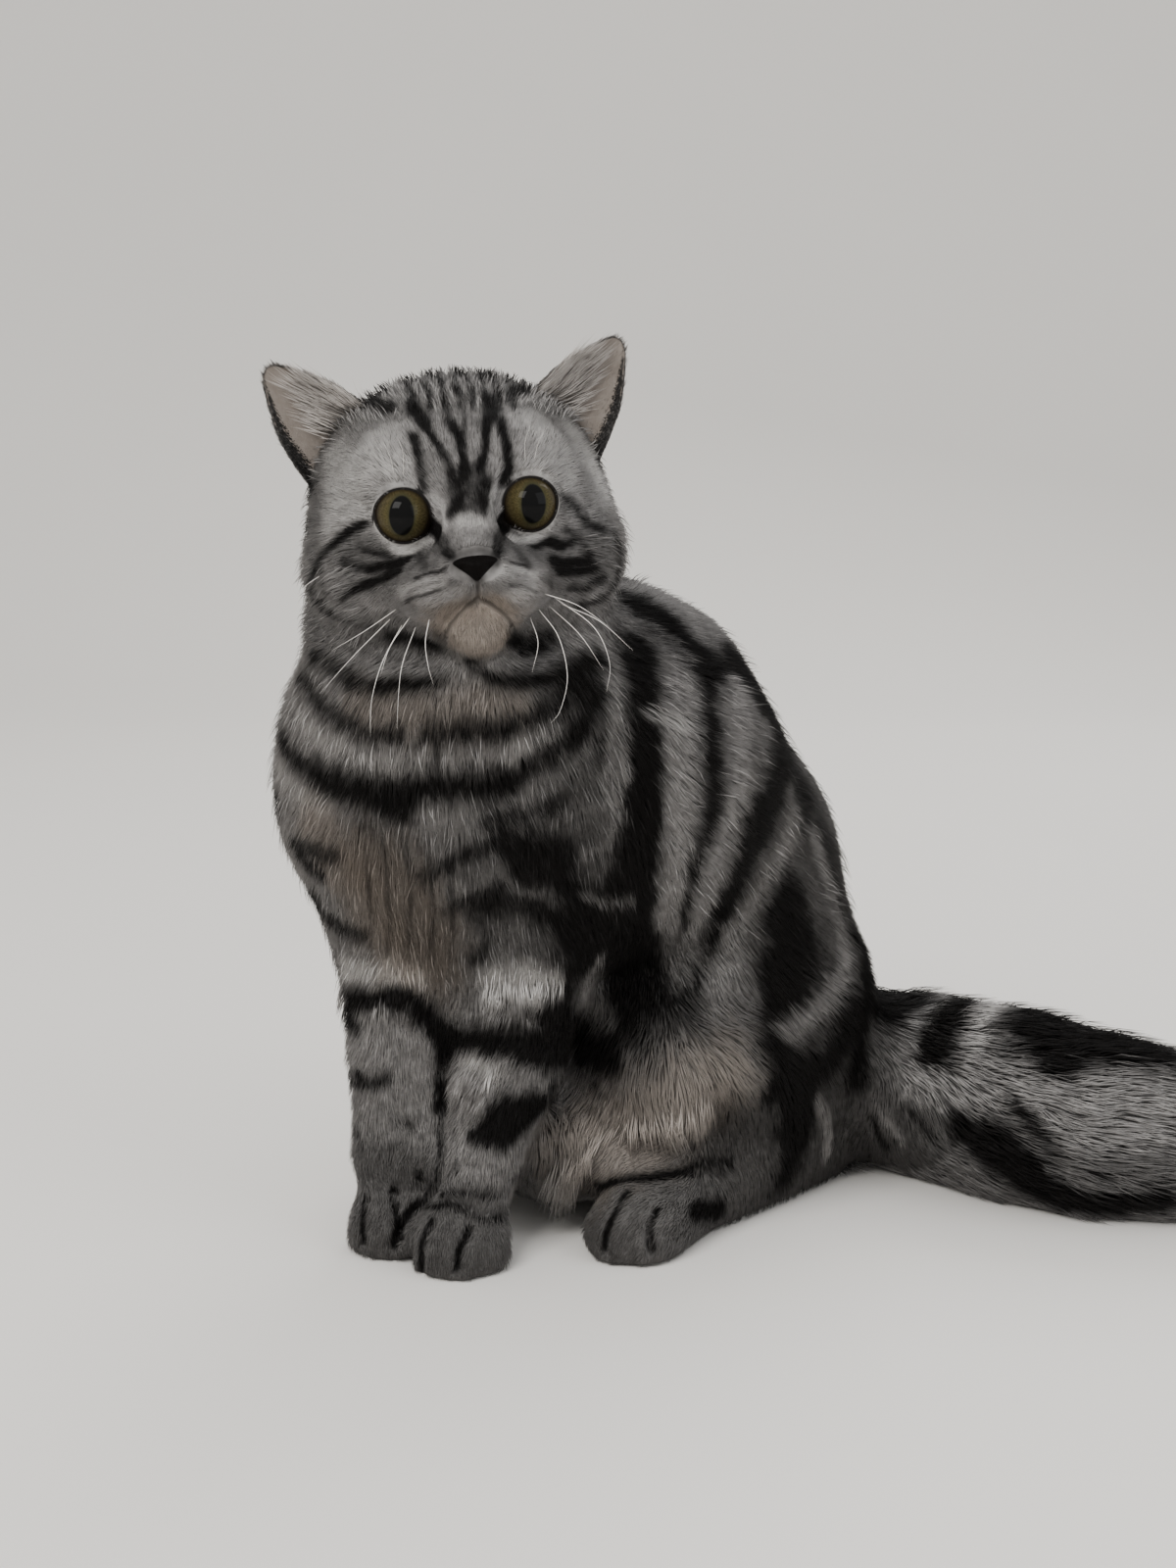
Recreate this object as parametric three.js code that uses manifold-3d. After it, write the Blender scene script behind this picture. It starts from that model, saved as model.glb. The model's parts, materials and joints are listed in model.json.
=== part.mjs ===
// A domestic cat with a heavy, plush coat, sitting upright at life size, in millimetres.
//
// The cat faces -Y with its own left at +X, and +Z is up. It sits on the plane z = 0, on its
// haunches, its four feet and its tail, which lies out to its left. The hips are turned well
// away from the head: seen from above, the body winds round from the rump to the face.
//
// Every soft part is worked out in the same way. Named balls and tapered limbs are blended into
// one smooth field, and a capsule strung on a line inside the part is blown out until it meets
// the level where that field is zero. Neighbours share the field, so their surfaces run on from
// one to the next, and flat thin cuts part them.
import * as THREE from "three";
import { mergeVertices } from "three/addons/utils/BufferGeometryUtils.js";
import Module from "manifold-3d";

const wasm = await Module();
wasm.setup();

// ---------------------------------------------------------------- driving dimensions
const GAP = 0.3; // left between neighbouring parts
const BLEND = 16; // how far apart two forms start to flow into each other

const EYE_RADIUS = 11;
const EYE_SPACING = 43.6; // between the centres of the two eyes
const EYE_HEIGHT = 287; // of the eyes above the ground

const EYES_AHEAD = 33; // of the middle of the head
const NOSE_SIZE = [16, 10, 12]; // across, from front to back, and high

const EAR_WIDTH = 38;
const EAR_WALL = 2.6;
const EAR_CUP = 15; // how far the edges at the base stand in front of the back of the ear

const FOREPAW_WIDTH = 43;
const HINDFOOT_LENGTH = 140;
const HINDFOOT_WIDTH = 44;
const TAIL_RADIUS = 41; // with its fur, at the thickest

// Turns about the upright axis, in degrees: how far each part faces to the cat's right.
const HIP_TURN = 47;
const RIB_TURN = 40;
const CHEST_TURN = 14;
const NECK_TURN = 6;
const HEAD_TURN = -7;
const HEAD_ROLL = 4.9; // the head is tilted with its left side up
const PAW_TURN = 4;
const TOE_OUT = 7; // how far each hind foot points away from the middle

// ---------------------------------------------------------------- places on the body
// A station is a place on the body with its own left, back and up directions.
function station(x, y, z, turn, roll = 0) {
  const place = new THREE.Matrix4().makeTranslation(x, y, z);
  place.multiply(new THREE.Matrix4().makeRotationZ(-THREE.MathUtils.degToRad(turn)));
  place.multiply(new THREE.Matrix4().makeRotationY(-THREE.MathUtils.degToRad(roll)));
  return {
    place,
    at: (left, back, up) => new THREE.Vector3(left, back, up).applyMatrix4(place),
    toward: (left, back, up) => new THREE.Vector3(left, back, up).transformDirection(place),
  };
}

const hips = station(112, 128, 0, HIP_TURN);
const ribs = station(58, 84, 0, RIB_TURN);
const chest = station(10, 50, 0, CHEST_TURN);
const throat = station(17, 36, 0, NECK_TURN);
const head = station(15.6, 20, EYE_HEIGHT, HEAD_TURN, HEAD_ROLL);
const ground = station(0, 0, 0, 0);

const SIDES = [
  { name: "left", sign: 1 },
  { name: "right", sign: -1 },
];

// ---------------------------------------------------------------- smooth forms
// Each form is a function of a point: below zero inside it, and close to the distance outside.
function ball(where, left, back, up, radii) {
  const centre = new THREE.Matrix4().makeTranslation(left, back, up);
  const local = where.place.clone().multiply(centre).invert();
  const radius = new THREE.Vector3(...radii);
  const p = new THREE.Vector3();
  return (point) => {
    p.copy(point).applyMatrix4(local).divide(radius);
    const reach = p.length();
    const slope = p.divide(radius).length();
    return slope > 0 ? (reach * (reach - 1)) / slope : -Math.min(...radii);
  };
}

// A limb tapers from one radius at its start to another at its end, and has round ends.
function limb(start, startRadius, end, endRadius) {
  const axis = end.clone().sub(start);
  const length = axis.length();
  axis.divideScalar(length);
  const lean = (startRadius - endRadius) / length;
  const rise = Math.sqrt(1 - lean * lean);
  const p = new THREE.Vector3();
  return (point) => {
    p.copy(point).sub(start);
    const along = p.dot(axis);
    const off = Math.sqrt(Math.max(p.lengthSq() - along * along, 0));
    const foot = rise * along - lean * off;
    if (foot < 0) return Math.hypot(along, off) - startRadius;
    if (foot > rise * length) return Math.hypot(along - length, off) - endRadius;
    return rise * off + lean * along - startRadius;
  };
}

function blended(forms, reach = BLEND) {
  return (point) => {
    let value = forms[0](point);
    for (const form of forms.slice(1)) {
      const other = form(point);
      const near = Math.max(reach - Math.abs(value - other), 0) / reach;
      value = Math.min(value, other) - (near ** 3 * reach) / 6;
    }
    return value;
  };
}

// ---------------------------------------------------------------- wrapping a form
const STEP = 1.5; // first search step along a ray, refined by halving
const PAST_CUT = 6; // how far past a flat cut a ray may run

function reachOf(field, from, direction, level, furthest) {
  const p = new THREE.Vector3();
  const outside = (r) => field(p.copy(direction).multiplyScalar(r).add(from)) > level;
  let far = STEP;
  while (far < furthest && !outside(far)) far += STEP;
  let near = far - STEP;
  for (let i = 0; i < 12; i++) {
    const middle = (near + far) / 2;
    if (outside(middle)) far = middle;
    else near = middle;
  }
  return far;
}

// The capsule's sides follow the line through the points, and its two caps close the ends.
// Each bound is a flat cut that the part ends at. The rays stop a little past it, and the
// excess is then cut away.
function wrapped(points, form, grid, bounds = []) {
  const { around, along, cap, furthest, level = 0 } = grid;
  const line = new THREE.CatmullRomCurve3(points);
  const past = (point, { point: on, normal }) =>
    (point.x - on.x) * normal.x + (point.y - on.y) * normal.y + (point.z - on.z) * normal.z;
  const field = (point) =>
    bounds.reduce((value, cut) => Math.max(value, past(point, cut) - PAST_CUT), form(point));
  const shape = new THREE.CapsuleGeometry(1, along, cap, around, along);
  const position = shape.getAttribute("position");
  const p = new THREE.Vector3();
  const upright = new THREE.Vector3(0, 0, 1);
  for (let i = 0; i < position.count; i++) {
    p.fromBufferAttribute(position, i);
    const share = THREE.MathUtils.clamp(p.y / along + 0.5, 0, 1);
    p.y -= (share - 0.5) * along;
    const from = line.getPointAt(share);
    const tangent = line.getTangentAt(share);
    const side = new THREE.Vector3().crossVectors(upright, tangent).normalize();
    const top = new THREE.Vector3().crossVectors(tangent, side);
    const direction = side.multiplyScalar(-p.x).addScaledVector(tangent, p.y);
    direction.addScaledVector(top, p.z).normalize();
    const r = reachOf(field, from, direction, level, furthest);
    from.addScaledVector(direction, r);
    position.setXYZ(i, from.x, from.y, from.z);
  }
  return bounds.reduce(keepBefore, solidOf(shape));
}

// ---------------------------------------------------------------- solids, joins and cuts
function solidOf(geometry) {
  const bare = new THREE.BufferGeometry();
  bare.setAttribute("position", geometry.getAttribute("position"));
  bare.setIndex(geometry.getIndex());
  const merged = mergeVertices(bare, 1e-3);
  const corners = merged.getIndex().array;
  const kept = [];
  for (let i = 0; i < corners.length; i += 3) {
    const [a, b, c] = corners.slice(i, i + 3);
    if (a !== b && b !== c && c !== a) kept.push(a, b, c);
  }
  const solid = new wasm.Manifold(
    new wasm.Mesh({
      numProp: 3,
      vertProperties: merged.getAttribute("position").array,
      triVerts: new Uint32Array(kept),
    }),
  );
  if (solid.volume() < 0) throw new Error("a form is inside out");
  return solid;
}

function geometryOf(solid) {
  const pieces = solid.decompose();
  const largest = pieces.reduce((a, b) => (a.volume() > b.volume() ? a : b));
  const mesh = largest.getMesh();
  const geometry = new THREE.BufferGeometry();
  geometry.setAttribute("position", new THREE.BufferAttribute(mesh.vertProperties, 3));
  geometry.setIndex(new THREE.BufferAttribute(mesh.triVerts, 1));
  geometry.computeVertexNormals();
  return geometry;
}

// Everything on the side of a flat cut that its normal points to, short of the cut by a shift.
const HUGE = 1200;
function beyond(cut, shift = 0) {
  const block = new THREE.BoxGeometry(HUGE, HUGE, HUGE);
  block.translate(0, 0, HUGE / 2 + shift);
  const turn = new THREE.Quaternion();
  turn.setFromUnitVectors(new THREE.Vector3(0, 0, 1), cut.normal);
  block.applyQuaternion(turn);
  block.translate(cut.point.x, cut.point.y, cut.point.z);
  return solidOf(block);
}

const cutAt = (point, normal) => ({ point, normal: normal.clone().normalize() });
const flipped = (cut) => ({ point: cut.point, normal: cut.normal.clone().negate() });
const keepBefore = (solid, cut) => solid.subtract(beyond(cut, -GAP / 2));

// ---------------------------------------------------------------- the forms of each part
const skullForms = [
  ball(head, 0, 10, 4, [56, 52, 45]), // cranium
  ball(head, 0, -6, -28, [44, 38, 26]), // jaw
];
const faceForms = [
  limb(head.at(0, -34, 6), 13, head.at(0, -55, -17), 8), // bridge of the nose
  ball(head, 0, -36, -42, [14, 16, 12.5]), // chin
];
for (const { sign } of SIDES) {
  skullForms.push(ball(head, sign * 34, -2, -20, [28, 33, 28])); // cheek
  faceForms.push(ball(head, sign * 20, -24, 17, [19, 17, 14])); // brow
  faceForms.push(ball(head, sign * 12.5, -43, -27, [15.5, 16, 13])); // whisker pad
}

const neckForms = [
  limb(throat.at(3, 26, 212), 55, throat.at(-4, -2, 253), 58),
  ball(throat, -1, -4, 210, [72, 46, 38]), // the ruff under the chin
];

const trunkForms = [
  ball(hips, 0, 0, 70, [70, 72, 72]), // rump
  ball(hips, 8, -54, 68, [48, 40, 46]), // belly
  ball(hips, 5, -20, 130, [73, 67, 75]), // loins
  ball(ribs, 9, 0, 173, [82, 78, 75]), // rib cage
  ball(chest, -2, 0, 178, [71, 58, 67]), // breast
  ball(ribs, 4, 10, 211, [64, 55, 47]), // withers
];

// The left forefoot stands a little in front, and its leg leans out to the elbow.
const FORELEGS = {
  left: {
    paw: station(14.5, 8, 0, PAW_TURN),
    wrist: new THREE.Vector3(20, 17, 34),
    shin: new THREE.Vector3(36, 24, 74),
    elbow: new THREE.Vector3(43, 34, 118),
  },
  right: {
    paw: station(-11, 28, 0, PAW_TURN),
    wrist: new THREE.Vector3(-13.5, 37, 34),
    shin: new THREE.Vector3(-13, 40, 74),
    elbow: new THREE.Vector3(-11, 48, 118),
  },
};

const fingerForms = {};
const forelegForms = {};
const thighForms = {};
const shankForms = {};
const toeForms = {};

// Four toes in an arc: the two in the middle are the longest and stand the highest.
const TOES = 4;
const TOE_WIDTH = 17;
function toes(foot, width) {
  const forms = [];
  for (let i = 0; i < TOES; i++) {
    const across = (i / (TOES - 1) - 0.5) * 2;
    const left = (across * (width - TOE_WIDTH - 2)) / 2;
    const back = -12 + 6 * across ** 2;
    forms.push(ball(foot, left, back, 8, [TOE_WIDTH / 2, 13, 13 - 2 * Math.abs(across)]));
  }
  return forms;
}

for (const { name, sign } of SIDES) {
  const { paw, wrist, shin, elbow } = FORELEGS[name];
  forelegForms[name] = [
    limb(shin, 19.5, wrist, 16.5),
    limb(elbow, 25, shin, 19.5),
    limb(elbow, 26, chest.at(sign * 34 + 2, 6, 165), 34), // upper arm and shoulder
    limb(wrist, 17, paw.at(0, 4, 14), 16),
    ball(paw, 0, 2, 10, [FOREPAW_WIDTH / 2 - 1.5, 20, 17]),
  ];
  fingerForms[name] = toes(paw, FOREPAW_WIDTH);
  thighForms[name] = [
    limb(hips.at(sign * 36, 0, 84), 48, hips.at(sign * 46, -62, 68), 34),
    ball(hips, sign * 44, -22, 60, [34, 60, 56]),
  ];
  const heel = hips.at(sign * 46, 24, 18);
  const sole = station(...hips.at(sign * 59, 46 - HINDFOOT_LENGTH, 0), HIP_TURN - sign * TOE_OUT);
  shankForms[name] = [
    limb(heel, 20, sole.at(0, 6, 14), 17),
    ball(sole, 0, 2, 10, [HINDFOOT_WIDTH / 2 - 2, 20, 16]),
  ];
  toeForms[name] = toes(sole, HINDFOOT_WIDTH);
}

// The neck, trunk and legs are one flowing form, which the cuts part.
const bodyField = blended([
  ...trunkForms,
  ...neckForms,
  ...thighForms.left,
  ...thighForms.right,
  ...shankForms.left,
  ...shankForms.right,
  ...forelegForms.left,
  ...forelegForms.right,
]);

// The tail leaves the rump low down, swings forward and lies along the ground.
const tailLine = [
  new THREE.Vector3(140, 152, 48),
  new THREE.Vector3(175, 138, 38),
  new THREE.Vector3(205, 120, 38),
  new THREE.Vector3(233, 96, 38),
  new THREE.Vector3(262, 74, 36),
  new THREE.Vector3(300, 62, 33),
  new THREE.Vector3(345, 64, 29),
  new THREE.Vector3(382, 78, 25),
];
const tailRadii = [0.82, 0.9, 0.97, 1, 0.97, 0.86, 0.75, 0.6].map((share) => share * TAIL_RADIUS);
const tailCurve = new THREE.CatmullRomCurve3(tailLine);
const tailForms = tailLine
  .slice(1)
  .map((point, i) => limb(tailLine[i], tailRadii[i], point, tailRadii[i + 1]));

// ---------------------------------------------------------------- the cuts between parts
const underJaw = cutAt(head.at(0, -30, -56), head.toward(0, 0.52, -0.85));
const collarLine = cutAt(throat.at(0, -56, 186), throat.toward(0.06, 0.57, -0.82));
const elbowCut = cutAt(ground.at(0, 0, 104), ground.toward(0, 0, -1));
const behindForelegs = cutAt(chest.at(0, 6, 0), chest.toward(0, -1, 0));
const midChest = cutAt(chest.at(0, 0, 0), chest.toward(1, 0, 0));
const wristCut = cutAt(ground.at(0, 0, 30), ground.toward(0, 0, -1));
const ankleCut = cutAt(hips.at(0, -20, 36), hips.toward(0, 0.05, -1));
const tailHalf = cutAt(tailCurve.getPointAt(0.5), tailCurve.getTangentAt(0.5));
const floor = cutAt(ground.at(0, 0, 0), ground.toward(0, 0, -1));

// ---------------------------------------------------------------- colours and meshes
const COAT = { roughness: 0.85, metalness: 0 };
const SILVER = 0x9a9791;
const CHARCOAL = 0x3d3b39;
const BUFF = 0x958878;
const INNER_EAR = 0xa8958c;
const EYE = 0x6f6a35;
const NOSE = 0x2f2522;

function part(name, solid, color, finish = COAT) {
  const material = new THREE.MeshStandardMaterial({ color, ...finish });
  const mesh = new THREE.Mesh(geometryOf(solid), material);
  mesh.name = name;
  return mesh;
}

const onGround = (solid) => solid.subtract(beyond(floor));

// ---------------------------------------------------------------- the head
const headField = blended([...skullForms, ...faceForms], 12);
const HEAD_GRID = { around: 30, along: 3, cap: 10, furthest: 110 };
const headLine = [head.at(0, 22, 2), head.at(0, 4, -6), head.at(0, -18, -12)];
const eyeCentre = (sign) => head.at((sign * EYE_SPACING) / 2, -EYES_AHEAD, 0);

function eyeBall(sign, radius) {
  const shape = new THREE.SphereGeometry(radius, 14, 9);
  shape.rotateX(Math.PI / 2);
  const centre = eyeCentre(sign);
  shape.translate(centre.x, centre.y, centre.z);
  return solidOf(shape);
}

function noseShape(spare = 0) {
  const shape = new THREE.SphereGeometry(1, 12, 7);
  shape.scale(...NOSE_SIZE.map((size) => size / 2 + spare));
  shape.translate(0, -59.5, -19.5);
  return solidOf(shape.applyMatrix4(head.place));
}

function headShape() {
  let solid = wrapped(headLine, headField, HEAD_GRID, [underJaw]);
  for (const { sign } of SIDES) solid = solid.subtract(eyeBall(sign, EYE_RADIUS + GAP));
  return solid.subtract(noseShape(GAP));
}

// An ear is a thin leaf, bent into a cup, whose edges come forward round its opening. It starts
// as a ball whose rings, from the bottom one to the top one, become its rows from base to tip.
function earShape(sign) {
  const base = head.at(sign * 38.7, 8, 24);
  const tip = head.at(sign * 66.5, 4, 57.5);
  const axis = tip.clone().sub(base).normalize();
  const out = head.toward(sign * 0.35, -1, 0.05);
  const across = new THREE.Vector3().crossVectors(axis, out).normalize();
  const depth = new THREE.Vector3().crossVectors(across, axis).normalize();
  const shape = new THREE.SphereGeometry(1, 16, 10);
  const position = shape.getAttribute("position");
  const p = new THREE.Vector3();
  for (let i = 0; i < position.count; i++) {
    p.fromBufferAttribute(position, i);
    const share = (p.y + 1) / 2;
    const ring = Math.hypot(p.x, p.z);
    const x = ring > 0.01 ? p.x / ring : 0;
    const z = ring > 0.01 ? p.z / ring : 0;
    const closing = Math.min(1, 2 * ring);
    const width = closing * ((EAR_WIDTH / 2) * (1 - share ** 1.6) + 1.6);
    const cup = EAR_CUP * (1 - share) ** 0.8;
    const behind = cup * (x * x - 0.5) + (z * closing * EAR_WALL) / 2;
    const point = base.clone().lerp(tip, share);
    point.addScaledVector(across, x * width).addScaledVector(depth, behind);
    position.setXYZ(i, point.x, point.y, point.z);
  }
  const skull = wrapped(headLine, headField, { ...HEAD_GRID, level: GAP });
  return solidOf(shape).subtract(skull);
}

// ---------------------------------------------------------------- the body
function neckShape() {
  const line = [throat.at(2, 18, 222), throat.at(0, -2, 246)];
  const grid = { around: 26, along: 3, cap: 5, furthest: 95 };
  return wrapped(line, bodyField, grid, [flipped(underJaw), collarLine]);
}

function trunkShape(level = 0) {
  const line = [hips.at(0, 6, 66), hips.at(0, -18, 120), ribs.at(0, 2, 168), chest.at(0, 4, 184)];
  const grid = { around: 28, along: 12, cap: 6, furthest: 120, level };
  let solid = wrapped(line, bodyField, grid, [flipped(collarLine)]);
  const legs = beyond(elbowCut, -GAP / 2).intersect(beyond(behindForelegs, -GAP / 2));
  solid = solid.subtract(legs);
  for (const { sign } of SIDES) {
    const [inside, above] = thighBounds(sign);
    const thigh = beyond(flipped(inside), -GAP / 2).intersect(beyond(flipped(above), -GAP / 2));
    solid = solid.subtract(thigh);
  }
  return onGround(solid);
}

// The thighs' share of the hindquarters is out to the side and below the flank.
function thighBounds(sign) {
  const inside = cutAt(hips.at(sign * 24, 0, 0), hips.toward(-sign, 0, 0));
  const above = cutAt(hips.at(sign * 36, -20, 122), hips.toward(0, -0.22, 1));
  return [inside, above];
}

function forelegShape({ name, sign }) {
  const { wrist, shin, elbow } = FORELEGS[name];
  const line = [elbow, shin, wrist];
  const grid = { around: 18, along: 7, cap: 3, furthest: 60 };
  const middle = sign > 0 ? flipped(midChest) : midChest;
  return wrapped(line, bodyField, grid, [
    flipped(elbowCut),
    flipped(behindForelegs),
    wristCut,
    middle,
  ]);
}

function forepawShape({ name, sign }) {
  const toed = blended([...forelegForms[name], ...fingerForms[name]], 5);
  const { paw } = FORELEGS[name];
  const line = [paw.at(0, 8, 14), paw.at(0, -6, 10)];
  const grid = { around: 18, along: 2, cap: 5, furthest: 50 };
  const middle = sign > 0 ? flipped(midChest) : midChest;
  return onGround(wrapped(line, toed, grid, [flipped(wristCut), middle]));
}

function hindlegShape({ name, sign }, level = 0) {
  const line = [hips.at(sign * 42, 16, 78), hips.at(sign * 44, -52, 70)];
  const grid = { around: 24, along: 5, cap: 5, furthest: 90, level };
  return wrapped(line, bodyField, grid, [...thighBounds(sign), ankleCut]);
}

function hindfootShape({ name, sign }, level = 0) {
  const toed = blended([bodyField, ...toeForms[name]], 5);
  const line = [hips.at(sign * 45, 22, 16), hips.at(sign * 58, -92, 12)];
  const grid = { around: 16, along: 8, cap: 4, furthest: 50, level };
  return onGround(wrapped(line, toed, grid, [...thighBounds(sign), flipped(ankleCut)]));
}

// A stretch of the tail, from one share of its length to another.
function tailShape(from, to, bound) {
  const field = blended(tailForms, 6);
  const points = [0, 0.25, 0.5, 0.75, 1].map((t) => tailCurve.getPointAt(from + (to - from) * t));
  const grid = { around: 16, along: 6, cap: 3, furthest: 60 };
  return onGround(wrapped(points, field, grid, [bound]));
}

// ---------------------------------------------------------------- the whole cat
const cat = new THREE.Group();
cat.add(part("head", headShape(), SILVER));
cat.add(part("nose", noseShape(), NOSE, { roughness: 0.45 }));
cat.add(part("neck", neckShape(), SILVER));
cat.add(part("trunk", trunkShape(), CHARCOAL));
for (const side of SIDES) {
  cat.add(part(`ear_${side.name}`, earShape(side.sign), INNER_EAR));
  cat.add(part(`eye_${side.name}`, eyeBall(side.sign, EYE_RADIUS), EYE, { roughness: 0.05 }));
  cat.add(part(`foreleg_${side.name}`, forelegShape(side), SILVER));
  cat.add(part(`forepaw_${side.name}`, forepawShape(side), CHARCOAL));
  cat.add(part(`hindleg_${side.name}`, hindlegShape(side), BUFF));
  cat.add(part(`hindfoot_${side.name}`, hindfootShape(side), CHARCOAL));
}
let tailBase = tailShape(0, 0.51, tailHalf).subtract(trunkShape(GAP));
for (const shape of [hindlegShape, hindfootShape]) {
  tailBase = tailBase.subtract(shape(SIDES[0], GAP));
}
cat.add(part("tail_base", tailBase, CHARCOAL));
cat.add(part("tail_tip", tailShape(0.49, 1, flipped(tailHalf)), SILVER));

// The origin is on the ground, under the middle of the whole cat.
const middle = new THREE.Box3().setFromObject(cat).getCenter(new THREE.Vector3());
cat.position.set(-middle.x, -middle.y, 0);

export default cat;
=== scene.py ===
# %% [markdown]
# # A sitting silver tabby
# The frame holds the plain solids of a cat, which reach to the tips of its coat. This lesson
# dresses them: one skin over the whole body, two eyes, a nose, whiskers, and a coat of about
# 150,000 small tufts that lie along the skin.
# %% Load the frame
import json
import math

import bpy
import numpy as np
from mathutils import Matrix, Vector, kdtree, noise
from mathutils.bvhtree import BVHTree

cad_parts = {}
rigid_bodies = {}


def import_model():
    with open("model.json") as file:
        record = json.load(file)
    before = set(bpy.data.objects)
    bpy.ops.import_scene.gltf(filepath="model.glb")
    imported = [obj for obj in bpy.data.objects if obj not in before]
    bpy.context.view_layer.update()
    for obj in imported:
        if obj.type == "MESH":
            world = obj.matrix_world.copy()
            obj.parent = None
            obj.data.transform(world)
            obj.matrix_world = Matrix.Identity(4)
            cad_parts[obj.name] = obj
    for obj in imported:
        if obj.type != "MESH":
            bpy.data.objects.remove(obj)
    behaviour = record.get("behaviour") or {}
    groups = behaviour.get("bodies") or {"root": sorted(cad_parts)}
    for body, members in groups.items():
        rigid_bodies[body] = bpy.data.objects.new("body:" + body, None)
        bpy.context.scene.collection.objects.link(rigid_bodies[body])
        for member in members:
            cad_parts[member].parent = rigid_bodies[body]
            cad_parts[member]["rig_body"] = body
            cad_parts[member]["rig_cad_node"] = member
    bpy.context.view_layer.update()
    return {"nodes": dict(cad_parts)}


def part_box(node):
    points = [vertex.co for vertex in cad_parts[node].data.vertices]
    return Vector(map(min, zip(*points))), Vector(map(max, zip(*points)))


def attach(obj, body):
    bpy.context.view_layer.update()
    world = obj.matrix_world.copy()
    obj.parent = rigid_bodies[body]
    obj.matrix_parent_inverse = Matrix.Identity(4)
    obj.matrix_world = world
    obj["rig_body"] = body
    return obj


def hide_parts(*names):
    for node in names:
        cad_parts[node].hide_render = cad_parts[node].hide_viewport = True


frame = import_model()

# %% [markdown]
# ## Places on the cat
# A cat has no straight edges to measure from, so each part of its body gets a station: a place
# with its own left, back and up directions, in millimetres. The hips are turned well away from
# the head, as in any cat that sits and looks round. The frame shows where the left eye is, and
# that ties the stations to it.
# %% Stations
MM = 0.001
EYE_HEIGHT, EYE_SPACING, EYES_AHEAD, EYE_RADIUS = 287, 43.6, 33, 11
to_frame = Matrix.Scale(MM, 4)


def station(x, y, z, turn, roll=0.0):
    turned = Matrix.Rotation(-math.radians(turn), 4, "Z")
    return to_frame @ Matrix.Translation((x, y, z)) @ turned @ Matrix.Rotation(-math.radians(roll), 4, "Y")


def eye_centre(sign):
    return HEAD @ Vector((sign * EYE_SPACING / 2, -EYES_AHEAD, 0))


HEAD = station(15.6, 20, EYE_HEIGHT, -7, 4.9)
low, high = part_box("eye_left")
to_frame = Matrix.Translation((low + high) / 2 - eye_centre(1)) @ to_frame
GROUND = station(0, 0, 0, 0)
HEAD = station(15.6, 20, EYE_HEIGHT, -7, 4.9)
THROAT = station(17, 36, 0, 6)
CHEST = station(10, 50, 0, 14)
RIBS = station(58, 84, 0, 40)
HIPS = station(112, 128, 0, 47)
print("the left eye is at", tuple(round(v, 4) for v in eye_centre(1)))

# %% [markdown]
# ## Camera, floor and light
# The camera stands at a person's waist and looks slightly down at the cat. The floor is a wide,
# pale sheet, and three broad lamps give the soft light of a room with windows.
# %% Camera
PICTURE = (1200, 1600)
FOCAL = 2300  # in points of that picture
CAMERA_DOWN = math.radians(9.1)
bpy.ops.object.select_all(action="DESELECT")
bpy.ops.object.camera_add(
    location=GROUND @ Vector((63, -817, 317)), rotation=(math.pi / 2 - CAMERA_DOWN, 0, 0)
)
camera = bpy.context.object
camera.data.sensor_width = 36
camera.data.lens = camera.data.sensor_width * FOCAL / max(PICTURE)
bpy.context.scene.camera = camera
bpy.context.view_layer.update()
print("lens", round(camera.data.lens, 2), "mm")


def sight(across, down):
    """The line of sight through a point of the picture: where it starts and where it goes."""
    aim = Vector(((across - PICTURE[0] / 2) / FOCAL, (PICTURE[1] / 2 - down) / FOCAL, -1))
    return camera.location, (camera.matrix_world.to_3x3() @ aim).normalized()


# %% Lamps
def lamp(name, place, size, power, colour):
    bpy.ops.object.light_add(type="AREA", location=place)
    light = bpy.context.object
    light.name = name
    light.data.size = size
    light.data.energy = power
    light.data.color = colour
    aim = Vector((-0.1, 0, 0.2)) - Vector(place)
    light.rotation_euler = aim.to_track_quat("-Z", "Y").to_euler()


lamp("key_lamp", (-0.9, -1.3, 1.5), 1.0, 34, (1, 0.98, 0.95))
lamp("fill_lamp", (1.4, -0.9, 0.9), 1.4, 12, (0.95, 0.97, 1))
lamp("back_lamp", (0.5, 1.5, 1.4), 1.2, 14, (1, 1, 1))
world = bpy.data.worlds.new("studio")
bpy.context.scene.world = world
world.use_nodes = True
world.node_tree.nodes["Background"].inputs["Color"].default_value = (0.86, 0.85, 0.83, 1)
world.node_tree.nodes["Background"].inputs["Strength"].default_value = 1.0

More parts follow.
